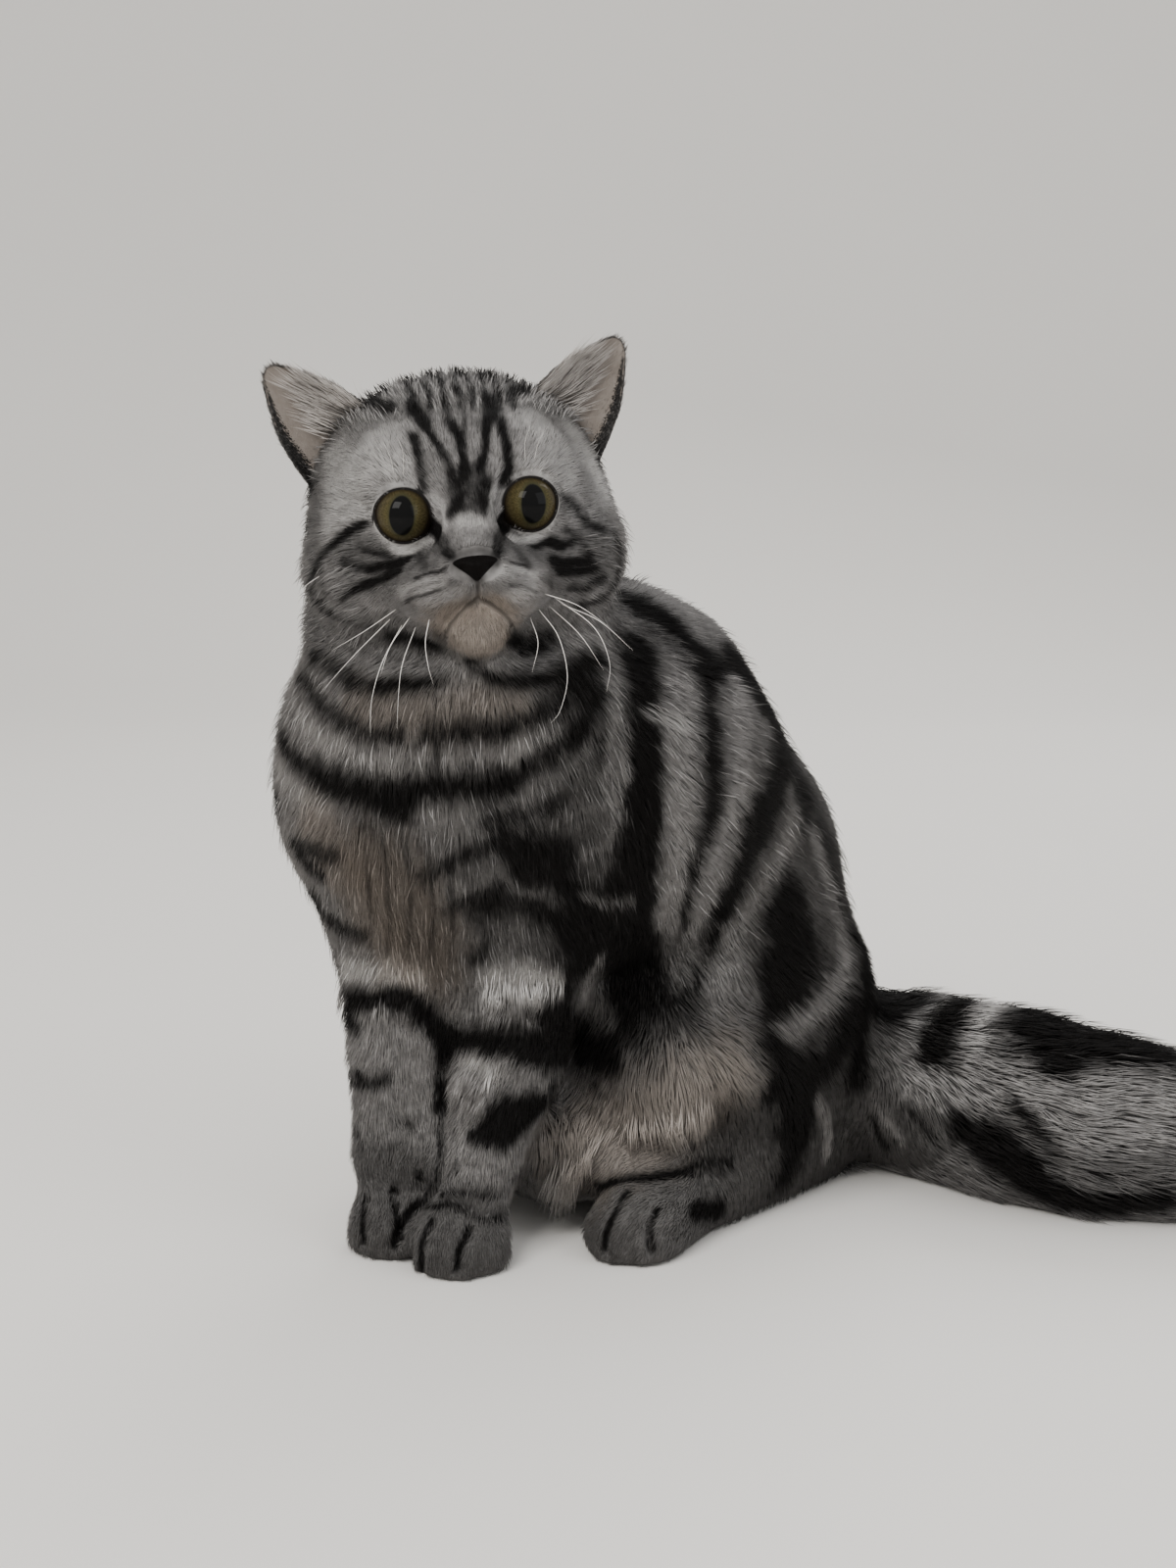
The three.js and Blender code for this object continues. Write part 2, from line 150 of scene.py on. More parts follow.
# %% [markdown]
# A material here is a small tree of nodes. A helper adds a node, sets its settings and its
# sockets, and joins it to other nodes, so that each material reads as a short list of steps.
# %% Material helpers
class Nodes:
    """A new material whose nodes are added one by one."""

    def __init__(self, name):
        self.material = bpy.data.materials.new(name)
        self.material.use_nodes = True
        self.tree = self.material.node_tree
        self.shader = self.tree.nodes["Principled BSDF"]

    def add(self, kind, sockets=(), **settings):
        made = self.tree.nodes.new("ShaderNode" + kind)
        for name, value in settings.items():
            setattr(made, name, value)
        for name, value in dict(sockets).items():
            self.feed(made, name, value)
        return made

    def feed(self, made, name, value):
        if isinstance(value, bpy.types.NodeSocket):
            self.tree.links.new(value, made.inputs[name])
        else:
            made.inputs[name].default_value = value

    def math(self, operation, *values):
        made = self.add("Math", operation=operation)
        for i, value in enumerate(values):
            self.feed(made, i, value)
        return made.outputs[0]

    def mix(self, share, first, second, blend="MIX"):
        made = self.add("Mix", data_type="RGBA", blend_type=blend, clamp_factor=True)
        for socket, value in ((0, share), (6, first), (7, second)):
            self.feed(made, socket, value)
        return made.outputs[2]

    def attribute(self, name):
        return self.add("Attribute", attribute_name=name).outputs["Fac"]

    def ramp(self, value, low, high):
        made = self.add("MapRange", {"Value": value, "From Min": low, "From Max": high})
        return made.outputs[0]

    def noise(self, place, scale, detail=2.0):
        made = self.add("TexNoise", {"Vector": place, "Scale": scale, "Detail": detail})
        return made.outputs[0]


# %% Floor
BACK, RISE = 3.0, 4.0  # how far behind the cat the sheet turns up, and how high it goes
bpy.ops.mesh.primitive_plane_add(size=2 * BACK, location=(0, 0, 0))
floor = bpy.context.object
floor.name = "floor"
bpy.ops.object.mode_set(mode="EDIT")
bpy.ops.mesh.select_mode(type="EDGE")
bpy.ops.mesh.select_all(action="DESELECT")
bpy.ops.object.mode_set(mode="OBJECT")
for edge in floor.data.edges:
    edge.select = all(floor.data.vertices[v].co.y > 0 for v in edge.vertices)
bpy.ops.object.mode_set(mode="EDIT")
bpy.ops.mesh.extrude_region_move(TRANSFORM_OT_translate={"value": (0, 0, RISE)})
bpy.ops.mesh.select_all(action="DESELECT")
bpy.ops.object.mode_set(mode="OBJECT")
for edge in floor.data.edges:
    ends = [floor.data.vertices[v].co for v in edge.vertices]
    edge.select = all(end.y > 0 and end.z < 0.1 for end in ends)
bpy.ops.object.mode_set(mode="EDIT")
bpy.ops.mesh.bevel(offset=1.4, segments=24, affect="EDGES")
bpy.ops.object.mode_set(mode="OBJECT")
bpy.ops.object.shade_smooth()
pale = Nodes("pale_floor")
place = pale.add("TexCoord").outputs["Object"]
tone = pale.mix(pale.noise(place, 3.0), (0.79, 0.77, 0.74, 1), (0.82, 0.8, 0.77, 1))
pale.feed(pale.shader, "Base Color", tone)
pale.feed(pale.shader, "Roughness", 0.7)
floor.data.materials.append(pale.material)

# %% [markdown]
# ## The skin
# A cat's skin is one closed bag, so it is made from copies of the solids, melted together by a
# voxel remesh. The eyes and nose are melted in too, to carry the surface across.
# %% Copies of the solids
SIDES = {"left": 1, "right": -1}
MELTED = ["head", "eye_left", "eye_right", "nose", "neck", "trunk", "tail_base", "tail_tip"]
MELTED += [f"{part}_{side}" for part in ("hindleg", "hindfoot", "foreleg", "forepaw") for side in SIDES]


def copy_of(nodes, name):
    bpy.ops.object.select_all(action="DESELECT")
    for node in nodes:
        frame["nodes"][node].select_set(True)
    bpy.context.view_layer.objects.active = frame["nodes"][nodes[0]]
    bpy.ops.object.duplicate()
    if len(nodes) > 1:
        bpy.ops.object.join()
    copy = bpy.context.object
    copy.name = name
    bpy.ops.object.parent_clear(type="CLEAR_KEEP_TRANSFORM")
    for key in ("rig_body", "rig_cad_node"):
        del copy[key]
    copy.data.materials.clear()
    bpy.ops.object.mode_set(mode="EDIT")
    bpy.ops.mesh.select_all(action="SELECT")
    bpy.ops.mesh.remove_doubles(threshold=0.00001)
    bpy.ops.object.mode_set(mode="OBJECT")
    return copy


def join(pieces):
    bpy.ops.object.select_all(action="DESELECT")
    for piece in pieces:
        piece.select_set(True)
    bpy.context.view_layer.objects.active = pieces[0]
    bpy.ops.object.join()
    return pieces[0]


def finish_with(piece, kind, **settings):
    bpy.context.view_layer.objects.active = piece
    modifier = piece.modifiers.new(kind.lower(), kind)
    for name, value in settings.items():
        setattr(modifier, name, value)
    bpy.ops.object.modifier_apply(modifier=modifier.name)


def points_of(piece):
    flat = np.empty(len(piece.data.vertices) * 3)
    piece.data.vertices.foreach_get("co", flat)
    return flat.reshape(-1, 3)


def normals_of(piece):
    flat = np.empty(len(piece.data.vertices) * 3, np.float32)
    piece.data.vertex_normals.foreach_get("vector", flat)
    return flat.reshape(-1, 3).astype(float)


def put_points(piece, points):
    piece.data.vertices.foreach_set("co", points.ravel())
    piece.data.update()


def moved(matrix, points):
    m = np.array(matrix)
    return points @ m[:3, :3].T + m[:3, 3]


def ramp(low, high, values):
    t = np.clip((values - low) / (high - low), 0, 1)
    return t * t * (3 - 2 * t)


# %% Melt them together
VOXEL = 0.0028
skin = copy_of(MELTED, "skin")
fillings = []
for where, middle, size in ((HIPS, (0, -88, 33), (46, 34, 28)), (GROUND, (8, 37, 76), (13, 14, 46))):
    bpy.ops.mesh.primitive_uv_sphere_add(segments=32, ring_count=16, radius=1.0)
    filling = bpy.context.object
    filling.location = where @ Vector(middle)
    filling.rotation_euler = where.to_3x3().normalized().to_euler()
    filling.scale = Vector(size) * MM
    fillings.append(filling)
skin = join([skin, *fillings])
finish_with(skin, "DISPLACE", strength=0.0004, mid_level=0)
finish_with(skin, "REMESH", mode="VOXEL", voxel_size=VOXEL)
bpy.ops.object.select_all(action="DESELECT")
skin.select_set(True)
bpy.ops.object.mode_set(mode="EDIT")
bpy.ops.mesh.separate(type="LOOSE")
bpy.ops.object.mode_set(mode="OBJECT")
shells = sorted(bpy.context.selected_objects, key=lambda shell: len(shell.data.vertices))
skin = shells.pop()
for crumb in shells:
    bpy.data.objects.remove(crumb)
skin.name = "skin"
print("the melted skin has", len(skin.data.polygons), "faces")


# %% [markdown]
# The remesh keeps the flat facets of the solids. Smoothing moves each point towards the middle
# of its neighbours, many times on the broad body and only a few times on the head and feet.
# %% Smooth it
def edges_of(piece):
    flat = np.empty(len(piece.data.edges) * 2, np.int32)
    piece.data.edges.foreach_get("vertices", flat)
    return flat.reshape(-1, 2)


def smooth(points, edges, weight, times):
    count = len(points)
    ends = np.concatenate([edges[:, 0], edges[:, 1]])
    others = np.concatenate([edges[:, 1], edges[:, 0]])
    valence = np.bincount(ends, minlength=count)[:, None]
    for _ in range(times):
        around = points[others]
        mean = np.stack([np.bincount(ends, around[:, k], count) for k in range(3)], 1) / valence
        points = points + weight[:, None] * (mean - points)
    return points


outer = points_of(skin)
height = moved(GROUND.inverted(), outer)[:, 2]
in_head = moved(HEAD.inverted(), outer)
on_head = ramp(-62, -48, in_head[:, 2]) * (1 - ramp(64, 80, np.abs(in_head[:, 1] - 5)))
on_floor = 1 - ramp(0.5, 8, height)
on_feet = 1 - ramp(25, 45, height)
on_tail = ramp(150, 190, moved(GROUND.inverted(), outer)[:, 0])
weight = 0.5 * (1 - on_head) * (1 - 0.92 * on_feet * (1 - on_tail)) * (1 - on_floor)
edges = edges_of(skin)
outer = smooth(outer, edges, weight, 40)
outer = smooth(outer, edges, 0.5 * (1 - on_floor), 4)
outer = smooth(outer, edges, 0.5 * on_head, 4)
put_points(skin, outer)


# %% [markdown]
# The face needs far smaller faces than the body, so the squares there are divided: once over
# the whole face, and once more round the eyes, the nose and the mouth.
# %% Finer faces on the face
def divide(piece, chosen):
    bpy.ops.object.select_all(action="DESELECT")
    piece.select_set(True)
    bpy.context.view_layer.objects.active = piece
    bpy.ops.object.mode_set(mode="EDIT")
    bpy.ops.mesh.select_mode(type="FACE")
    bpy.ops.mesh.select_all(action="DESELECT")
    bpy.ops.object.mode_set(mode="OBJECT")
    centres = np.empty(len(piece.data.polygons) * 3, np.float32)
    piece.data.polygons.foreach_get("center", centres)
    centres = moved(HEAD.inverted(), centres.reshape(-1, 3).astype(float))
    piece.data.polygons.foreach_set("select", chosen(centres))
    bpy.ops.object.mode_set(mode="EDIT")
    bpy.ops.mesh.subdivide(number_cuts=1)
    bpy.ops.object.mode_set(mode="OBJECT")


def near_eyes(local, reach):
    off = [np.linalg.norm(local - np.array((s * EYE_SPACING / 2, -EYES_AHEAD, 0)), axis=1) for s in (1, -1)]
    return np.minimum(*off) < reach


def on_paws(local):
    in_row = moved(GROUND.inverted(), moved(HEAD, local))
    return (in_row[:, 2] < 26) & (in_row[:, 1] < 62) & (in_row[:, 0] < 84)


def near_mouth(local):
    return (np.abs(local[:, 0]) < 19) & (local[:, 1] < -42) & (local[:, 2] > -44) & (local[:, 2] < -8)


divide(skin, on_paws)
divide(skin, lambda c: (c[:, 1] < -14) & (c[:, 2] > -58) & (c[:, 2] < 40) & (np.abs(c[:, 0]) < 50))
divide(skin, lambda c: (c[:, 1] < -24) & (near_eyes(c, 18) | near_mouth(c)))
outer = points_of(skin)
in_head = moved(HEAD.inverted(), outer)
on_face = (1 - ramp(-20, -10, in_head[:, 1])) * ramp(-62, -50, in_head[:, 2])
outer = smooth(outer, edges_of(skin), 0.5 * on_face, 5)
put_points(skin, outer)
print("with its finer face it has", len(skin.data.polygons), "faces")

# %% [markdown]
# ## Ears
# A cat's ear is a thin leaf of gristle, bent into a cup, with hardly any fur inside. The solid
# has the right outline, so a copy of it is rounded by subdivision. It then joins the skin with
# its base inside the head, where fur covers the place.
# %% Ears join the skin
EAR_ROOT = 0.3  # how far the base goes down into the head, as a share of the ear's length
BLUNT = 0.86  # the share of its length from which the tip is drawn in
body_count = len(skin.data.vertices)
ears = []
EAR_BASE, EAR_TIP = np.array((38.7, 8, 24)), np.array((66.5, 4, 57.5))
for side, sign in SIDES.items():
    ear = copy_of([f"ear_{side}"], f"bare_ear_{side}")
    finish_with(ear, "SUBSURF", levels=2, render_levels=2)
    finish_with(ear, "SMOOTH", factor=0.5, iterations=2)
    local = moved(HEAD.inverted(), points_of(ear))
    flip = np.array((sign, 1, 1))
    axis = (EAR_TIP - EAR_BASE) * flip
    share = (local - EAR_BASE * flip) @ axis / (axis @ axis)
    past = np.maximum(share - BLUNT, 0)
    blunted = (1 - BLUNT) * (1 - np.exp(-past / (1 - BLUNT)))
    local -= np.outer(EAR_ROOT * (1 - ramp(-0.1, 0.5, share)) + past - blunted, axis)
    put_points(ear, moved(HEAD, local))
    ears.append(ear)
skin = join([skin, *ears])
outer = points_of(skin)
is_ear = np.arange(len(outer)) >= body_count
print("the ears add", int(is_ear.sum()), "points")

# %% [markdown]
# ## The lie of the coat
# Hair grows from the nose backwards, down the chest and legs, and along the back and tail. A
# set of guides says, at places all over the body, which way the hair lies, how deep the coat
# is, how long its hairs are and how dark it is between the stripes. Between them the nearest
# guides share the say.
# %% Guides
GUIDES = []


def guide(region, where, place, lie, depth, length, ground=0.25, paired=False):
    for side, sign in SIDES.items():
        if sign < 0 and not paired:
            continue
        flip = Vector((sign, 1, 1))
        GUIDES.append(
            (
                region.replace("SIDE", side),
                where @ (Vector(place) * flip),
                (where.to_3x3() @ (Vector(lie) * flip)).normalized(),
                (depth, length, ground),
            )
        )


guide("face", HEAD, (0, -60, -8), (0, 0.4, 1), 0.8, 2.6, 0.15)
guide("face", HEAD, (0, -46, 8), (0, 0.5, 0.9), 1.2, 4, 0.15)
guide("face", HEAD, (0, -41, 26), (0, 0.6, 0.8), 2, 5.5, 0.15)
guide("face", HEAD, (24, -36, 22), (0.3, 0.6, 0.75), 1.8, 5, 0.1, paired=True)
guide("face", HEAD, (12, -44, -6), (0.25, 0.3, 0.9), 1, 3, 0.1, paired=True)
guide("face", HEAD, (40, -26, 6), (0.75, 0.65, 0.1), 2.2, 6, 0.15, paired=True)
guide("face", HEAD, (22, -44, -14), (0.9, 0.4, -0.15), 1.2, 3.5, 0.2, paired=True)
guide("face", HEAD, (12, -58, -25), (0.9, 0.25, -0.3), 1, 3.2, 0.05, paired=True)
guide("face", HEAD, (25, -47, -30), (0.85, 0.45, -0.35), 1.8, 5, 0.15, paired=True)
guide("face", HEAD, (4, -58, -32), (0.5, 0, -0.85), 0.8, 3, 0.1, paired=True)
guide("face", HEAD, (0, -51, -46), (0, 0.35, -0.95), 1.6, 5, 0.05)
guide("face", HEAD, (22, -36, -46), (0.45, 0.45, -0.75), 3.5, 9, 0.25, paired=True)
guide("crown", HEAD, (44, -16, -20), (0.6, 0.65, -0.45), 4, 9, 0.25, paired=True)
guide("crown", HEAD, (58, 6, -18), (0.25, 0.75, -0.65), 5.5, 12, 0.3, paired=True)
guide("crown", HEAD, (50, 14, 12), (0.15, 0.9, -0.45), 4.5, 10, 0.3, paired=True)
guide("crown", HEAD, (0, -18, 45), (0, 0.9, 0.4), 3, 7, 0.2)
guide("crown", HEAD, (20, -12, 44), (0.15, 0.9, 0.35), 2.8, 7, 0.2, paired=True)
guide("crown", HEAD, (0, 14, 50), (0, 1, 0), 4, 9, 0.35)
guide("crown", HEAD, (28, 22, 38), (0.1, 1, -0.2), 4, 9, 0.35, paired=True)
guide("crown", HEAD, (0, 52, 30), (0, 0.6, -0.8), 5.5, 12, 0.4)
guide("crown", HEAD, (0, 62, 0), (0, 0.25, -1), 6.5, 13, 0.4)
guide("neck", HEAD, (0, -14, -60), (0, 0.2, -1), 7, 14, 0.15)
guide("neck", THROAT, (0, -54, 214), (0, -0.1, -1), 8, 16, 0.15)
guide("neck", THROAT, (45, -36, 214), (0.3, 0, -1), 8, 16, 0.15, paired=True)
guide("neck", THROAT, (64, 8, 226), (0.2, 0.35, -0.9), 8, 15, 0.25, paired=True)
guide("neck", THROAT, (0, 74, 235), (0, 0.5, -0.85), 7, 14, 0.5)
guide("breast", CHEST, (0, -58, 178), (0, 0, -1), 8.5, 17, 0.15)
guide("breast", CHEST, (40, -46, 182), (0.3, 0, -1), 8, 17, 0.15, paired=True)
guide("breast", CHEST, (68, -8, 182), (0.15, 0.4, -0.9), 7.5, 15, 0.35, paired=True)
guide("breast", CHEST, (0, -50, 132), (0, 0.15, -1), 8, 16, 0.2)
guide("breast", CHEST, (40, -30, 130), (0.2, 0.2, -1), 7, 14, 0.3, paired=True)
guide("flank_left", RIBS, (84, -10, 180), (0.1, 0.75, -0.7), 7, 15, 0.5)
guide("flank_right", RIBS, (-84, -10, 180), (-0.1, 0.75, -0.7), 7, 15, 0.5)
guide("flank_SIDE", RIBS, (72, 40, 205), (-0.1, 0.7, -0.7), 6.5, 14, 0.5, paired=True)
guide("flank_SIDE", RIBS, (10, 78, 180), (0, 0.3, -1), 7, 15, 0.9, paired=True)
guide("flank_SIDE", HIPS, (76, -24, 140), (0, 0.65, -0.75), 7, 15, 0.6, paired=True)
guide("flank_SIDE", HIPS, (10, 50, 135), (0, 0.2, -1), 7, 15, 0.9, paired=True)
guide("haunch_SIDE", HIPS, (10, 70, 70), (0, 0.1, -1), 8, 16, 0.9, paired=True)
guide("haunch_SIDE", HIPS, (60, 50, 80), (0.1, 0.4, -0.9), 7.5, 15, 0.8, paired=True)
guide("haunch_SIDE", HIPS, (82, -10, 85), (0.1, 0.55, -0.85), 7, 15, 0.75, paired=True)
guide("haunch_SIDE", HIPS, (76, -60, 95), (0.1, 0.5, -0.85), 8, 18, 0.35, paired=True)
guide("haunch_SIDE", HIPS, (60, -94, 72), (0.15, 0.1, -1), 9, 20, 0.15, paired=True)
guide("haunch_SIDE", HIPS, (30, -96, 70), (-0.1, -0.1, -1), 8, 18, 0.15, paired=True)
guide("haunch_SIDE", HIPS, (24, -116, 36), (0, -0.1, -1), 7, 17, 0.2, paired=True)
guide("haunch_SIDE", HIPS, (0, -88, 8), (0, -0.6, -0.6), 4, 12, 0.2)
guide("haunch_SIDE", HIPS, (70, -60, 42), (0.1, 0.2, -1), 5, 11, 0.7, paired=True)
guide("haunch_SIDE", HIPS, (60, 30, 25), (0, -0.3, -0.9), 4.5, 9, 0.7, paired=True)
guide("feet", HIPS, (60, -80, 28), (0, -1, -0.25), 2, 6, 0.55, paired=True)
guide("feet", HIPS, (59, -106, 24), (0, -1, -0.35), 1.5, 4.5, 0.5, paired=True)
guide("feet", HIPS, (59, -118, 10), (0, -0.5, -0.9), 1, 3.5, 0.6, paired=True)
guide("legs", CHEST, (-34, 0, 100), (-0.1, 0, -1), 4.5, 10, 0.2)
guide("legs", GROUND, (-13, 20, 74), (0, 0, -1), 3.5, 8, 0.15)
guide("legs", GROUND, (-13, 20, 45), (0, -0.1, -1), 3, 7, 0.15)
guide("legs", GROUND, (-13, 60, 74), (0, 0, -1), 4, 9, 0.6)
guide("legs", GROUND, (44, 14, 100), (-0.1, -0.1, -1), 4.5, 10, 0.45)
guide("legs", GROUND, (34, 6, 74), (-0.3, -0.1, -1), 3.5, 8, 0.2)
guide("legs", GROUND, (22, 0, 45), (-0.2, -0.2, -1), 3, 7, 0.15)
guide("legs", GROUND, (40, 46, 74), (-0.1, 0, -1), 4, 9, 0.6)
for paw_x, paw_y in ((14.5, 8), (-11, 28)):
    guide("feet", GROUND, (paw_x, paw_y - 10, 26), (0, -0.9, -0.45), 1.8, 5, 0.5)
    guide("feet", GROUND, (paw_x, paw_y - 20, 14), (0, -0.5, -0.9), 1.2, 4, 0.6)
    guide("feet", GROUND, (paw_x, paw_y + 10, 20), (0, 0, -1), 2.5, 6, 0.55)
TAIL_LINE = [(140, 152, 48), (175, 138, 38), (205, 120, 38), (233, 96, 38)]
TAIL_LINE += [(262, 74, 36), (300, 62, 33), (345, 64, 29), (382, 78, 25)]
for start, end in zip(TAIL_LINE, TAIL_LINE[1:]):
    along = Vector(end) - Vector(start)
    for up in (-30, 30):
        middle = (Vector(start) + Vector(end)) / 2 + Vector((0, 0, up))
        guide("tail", GROUND, middle, along, 10, 21, 0.45)
REGIONS = sorted({row[0] for row in GUIDES})
print(len(GUIDES), "guides in", len(REGIONS), "regions")

# %% Ask the guides
guide_places = np.array([row[1] for row in GUIDES]) / MM
guide_lies = np.array([row[2] for row in GUIDES])
guide_values = np.array([row[3] for row in GUIDES])
guide_regions = np.array([REGIONS.index(row[0]) for row in GUIDES])


def ask_guides(points):
    share = np.empty((len(points), len(GUIDES)))
    for k, spot in enumerate(guide_places):
        share[:, k] = 1 / (np.sum((points / MM - spot) ** 2, axis=1) + 30) ** 2.5
    share /= share.sum(axis=1, keepdims=True)
    return share @ guide_lies, share @ guide_values, guide_regions[share.argmax(axis=1)]


lie, values, region = ask_guides(outer)
depth, length, ground = values.T
depth = depth * (1 - 0.4 * ramp(2, 5, depth))
length = length * (1 - 0.3 * ramp(5, 12, length))
height = moved(GROUND.inverted(), outer)[:, 2]
depth = depth * (0.15 + 0.85 * ramp(0, 9, height))
depth[is_ear], length[is_ear], ground[is_ear] = 0.5, 3.5, 0.35
print("the coat is", depth[~is_ear].min().round(1), "to", depth.max().round(1), "mm deep")

# %% [markdown]
# ## The bare skin
# The solids reach to the tips of the coat, so the skin now sinks in by the coat's depth. The
# face is then shaped as a sculptor would: lids that lie round the eyeballs, a groove from the
# nose to the mouth, the mouth's line under the whisker pads, and seams between the toes.
# %% Sink the skin below the coat
edges = edges_of(skin)
put_points(skin, outer)
inner = outer - normals_of(skin) * (depth * MM)[:, None]
inner = smooth(inner, edges, 0.35 * ~is_ear, 3)

# %% Lids
LID = 0.8  # how thick the edge of a lid is
GAZE_OUT = math.radians(7)
INNER_CORNER = math.radians(180 + 32)  # which way it is drawn, counted from straight outwards


def seen_from_eye(local, sign):
    """Where points of the head lie for one eye: distance, angle off its gaze, and the angle of
    its lids' edge that way. All round the eye the opening is nearly a circle; the inner corner
    is drawn out and down, the outer one slightly up."""
    off = local - np.array((sign * EYE_SPACING / 2, -EYES_AHEAD, 0))
    gaze = np.array((sign * math.sin(GAZE_OUT), -math.cos(GAZE_OUT), 0))
    outward = np.array((sign * math.cos(GAZE_OUT), math.sin(GAZE_OUT), 0))
    far = np.linalg.norm(off, axis=1)
    angle = np.arccos(np.clip(off @ gaze / far, -1, 1))
    turn = np.arctan2(off[:, 2], off @ outward)
    from_inner = (turn - INNER_CORNER + math.pi) % (2 * math.pi) - math.pi
    inner_corner = np.exp(-((from_inner / 0.3) ** 2))
    outer_corner = np.exp(-(((turn - 0.25) / 0.35) ** 2))
    upper = np.exp(-(((turn - math.pi / 2) / 0.8) ** 2))
    edge = math.radians(58) + 0.26 * inner_corner + 0.1 * outer_corner - 0.07 * upper
    return off, far, angle, edge


def foot_of_ball(local, sign):
    """The angle off the gaze at which the skin leaves the ball, for each turn round it."""
    off, far, angle, _ = seen_from_eye(local, sign)
    outward = np.array((sign * math.cos(GAZE_OUT), math.sin(GAZE_OUT), 0))
    turn = np.arctan2(off[:, 2], off @ outward)
    leaving = (far > EYE_RADIUS + 1.0) & (far < 18)
    sectors = np.floor((turn + math.pi) / (2 * math.pi) * 36).astype(int) % 36
    foot = np.array([np.quantile(angle[leaving & (sectors == k)], 0.04) for k in range(36)])
    for _ in range(3):
        foot = (np.roll(foot, 1) + 2 * foot + np.roll(foot, -1)) / 4
    middles = (np.arange(36) + 0.5) / 36 * 2 * math.pi - math.pi
    print("the skin leaves the ball", np.degrees(foot[::4]).round().astype(int), "degrees off the gaze")
    return np.interp(turn, middles, foot, period=2 * math.pi)


def open_lids(local, sign, foot, lift):
    """Moves the skin so that it leaves the ball just at the lids' edge, and hides the rest.
    Lift is how far the coat's surface is from the ball."""
    off, far, angle, edge = seen_from_eye(local, sign)
    gaze = np.array((sign * math.sin(GAZE_OUT), -math.cos(GAZE_OUT), 0))
    sideways = off - (off @ gaze)[:, None] * gaze
    sideways /= np.maximum(np.linalg.norm(sideways, axis=1), 1e-9)[:, None]
    excess = np.maximum(angle - foot, 0) * EYE_RADIUS
    away = np.hypot(excess, np.maximum(lift, 0))
    on_ball = (angle < foot) & (lift < 1.3)
    drawn = np.where(on_ball, angle * edge / foot, angle + (edge - foot) * (1 - ramp(0, 11, away)))
    beyond = drawn - edge
    band = math.radians(6)
    drawn = edge + np.where(np.abs(beyond) < band, beyond * np.abs(beyond) / band, beyond)
    blend = ramp(0, 6, away)
    rim = EYE_RADIUS + LID
    new_far = np.where(on_ball, 0.72 * EYE_RADIUS, np.maximum(rim * (1 - blend) + far * blend, rim))
    heading = np.cos(drawn)[:, None] * gaze + np.sin(drawn)[:, None] * sideways
    centre = np.array((sign * EYE_SPACING / 2, -EYES_AHEAD, 0))
    chosen = (on_ball | (away < 11)) & (far < 26)
    return np.where(chosen[:, None], centre + heading * new_far[:, None], local)


def beside_lids(local):
    """Millimetres outside the nearer pair of lids, along the face; less than zero inside it."""
    gaps = []
    for sign in SIDES.values():
        _, far, angle, edge = seen_from_eye(local, sign)
        along = (angle - edge) * EYE_RADIUS
        gaps.append(np.where(far < EYE_RADIUS + 2, along, np.hypot(np.maximum(along, 0), far - EYE_RADIUS)))
    return np.minimum(*gaps)


in_head = moved(HEAD.inverted(), inner)
coat_in_head = moved(HEAD.inverted(), outer)
for sign in SIDES.values():
    foot = foot_of_ball(coat_in_head, sign)
    lift = seen_from_eye(coat_in_head, sign)[1] - EYE_RADIUS
    in_head = open_lids(in_head, sign, foot, lift)
free = ramp(1.5, 4, beside_lids(in_head)) * (in_head[:, 1] < -10) * (in_head[:, 2] > -50) * ~is_ear
in_head = smooth(in_head, edges, 0.5 * free, 6)

# %% Throw points onto the coat
def form_of(piece, points):
    piece.data.calc_loop_triangles()
    flat = np.empty(len(piece.data.loop_triangles) * 3, np.int32)
    piece.data.loop_triangles.foreach_get("vertices", flat)
    return BVHTree.FromPolygons(points.tolist(), flat.reshape(-1, 3).tolist())


def thrown(across, down):
    return coat_form.ray_cast(*sight(across, down))[0]


def curved(corners, steps=4):
    """More points on a smooth curve through the corners."""
    corners = [np.array(corner, float) for corner in corners]
    padded = [2 * corners[0] - corners[1], *corners, 2 * corners[-1] - corners[-2]]
    made = []
    for a, b, c, d in zip(padded, padded[1:], padded[2:], padded[3:]):
        for t in np.arange(steps) / steps:
            bend = (2 * a - 5 * b + 4 * c - d) * t**2 + (3 * b - a - 3 * c + d) * t**3
            made.append(b + 0.5 * ((c - a) * t + bend))
    return [*made, corners[-1]]


def thrown_line(corners):
    return [thrown(*corner) for corner in curved(corners)]


LEG_LINE = ((454, 1064), (450, 1090), (447, 1130), (448, 1165), (446, 1195), (432, 1222), (408, 1250), (402, 1272))
TOE_SEAMS = [
    ((440, 1247), (431, 1265), (429, 1284), (430, 1296)),
    ((480, 1252), (470, 1272), (466, 1296)),
    ((372, 1222), (369, 1245), (370, 1268)),
    ((402, 1214), (404, 1240), (409, 1262)),
    ((640, 1216), (627, 1238), (619, 1258), (617, 1276)),
    ((672, 1232), (664, 1252), (666, 1276)),
]


# %% Nose bed, mouth and toes
def off_line(points, line):
    """The distance of points from a line of corners, in the same units."""
    best = np.full(len(points), np.inf)
    corners = np.asarray(line, float)
    for start, end in zip(corners, corners[1:]):
        along = end - start
        share = np.clip((points - start) @ along / (along @ along), 0, 1)
        best = np.minimum(best, np.linalg.norm(points - start - share[:, None] * along, axis=1))
    return best


MOUTH = [(0, -24), (0, -29.5)]
LIPS = [(0, -29.5), (3.2, -31.6), (7.2, -35), (10.2, -38.6), (11.6, -42)]


def mouth_gap(local):
    seen = np.stack([np.abs(local[:, 0]), local[:, 2]], axis=1)
    gap = np.minimum(off_line(seen, MOUTH), off_line(seen, LIPS))
    return np.where(local[:, 1] < -34, gap, 99.0)


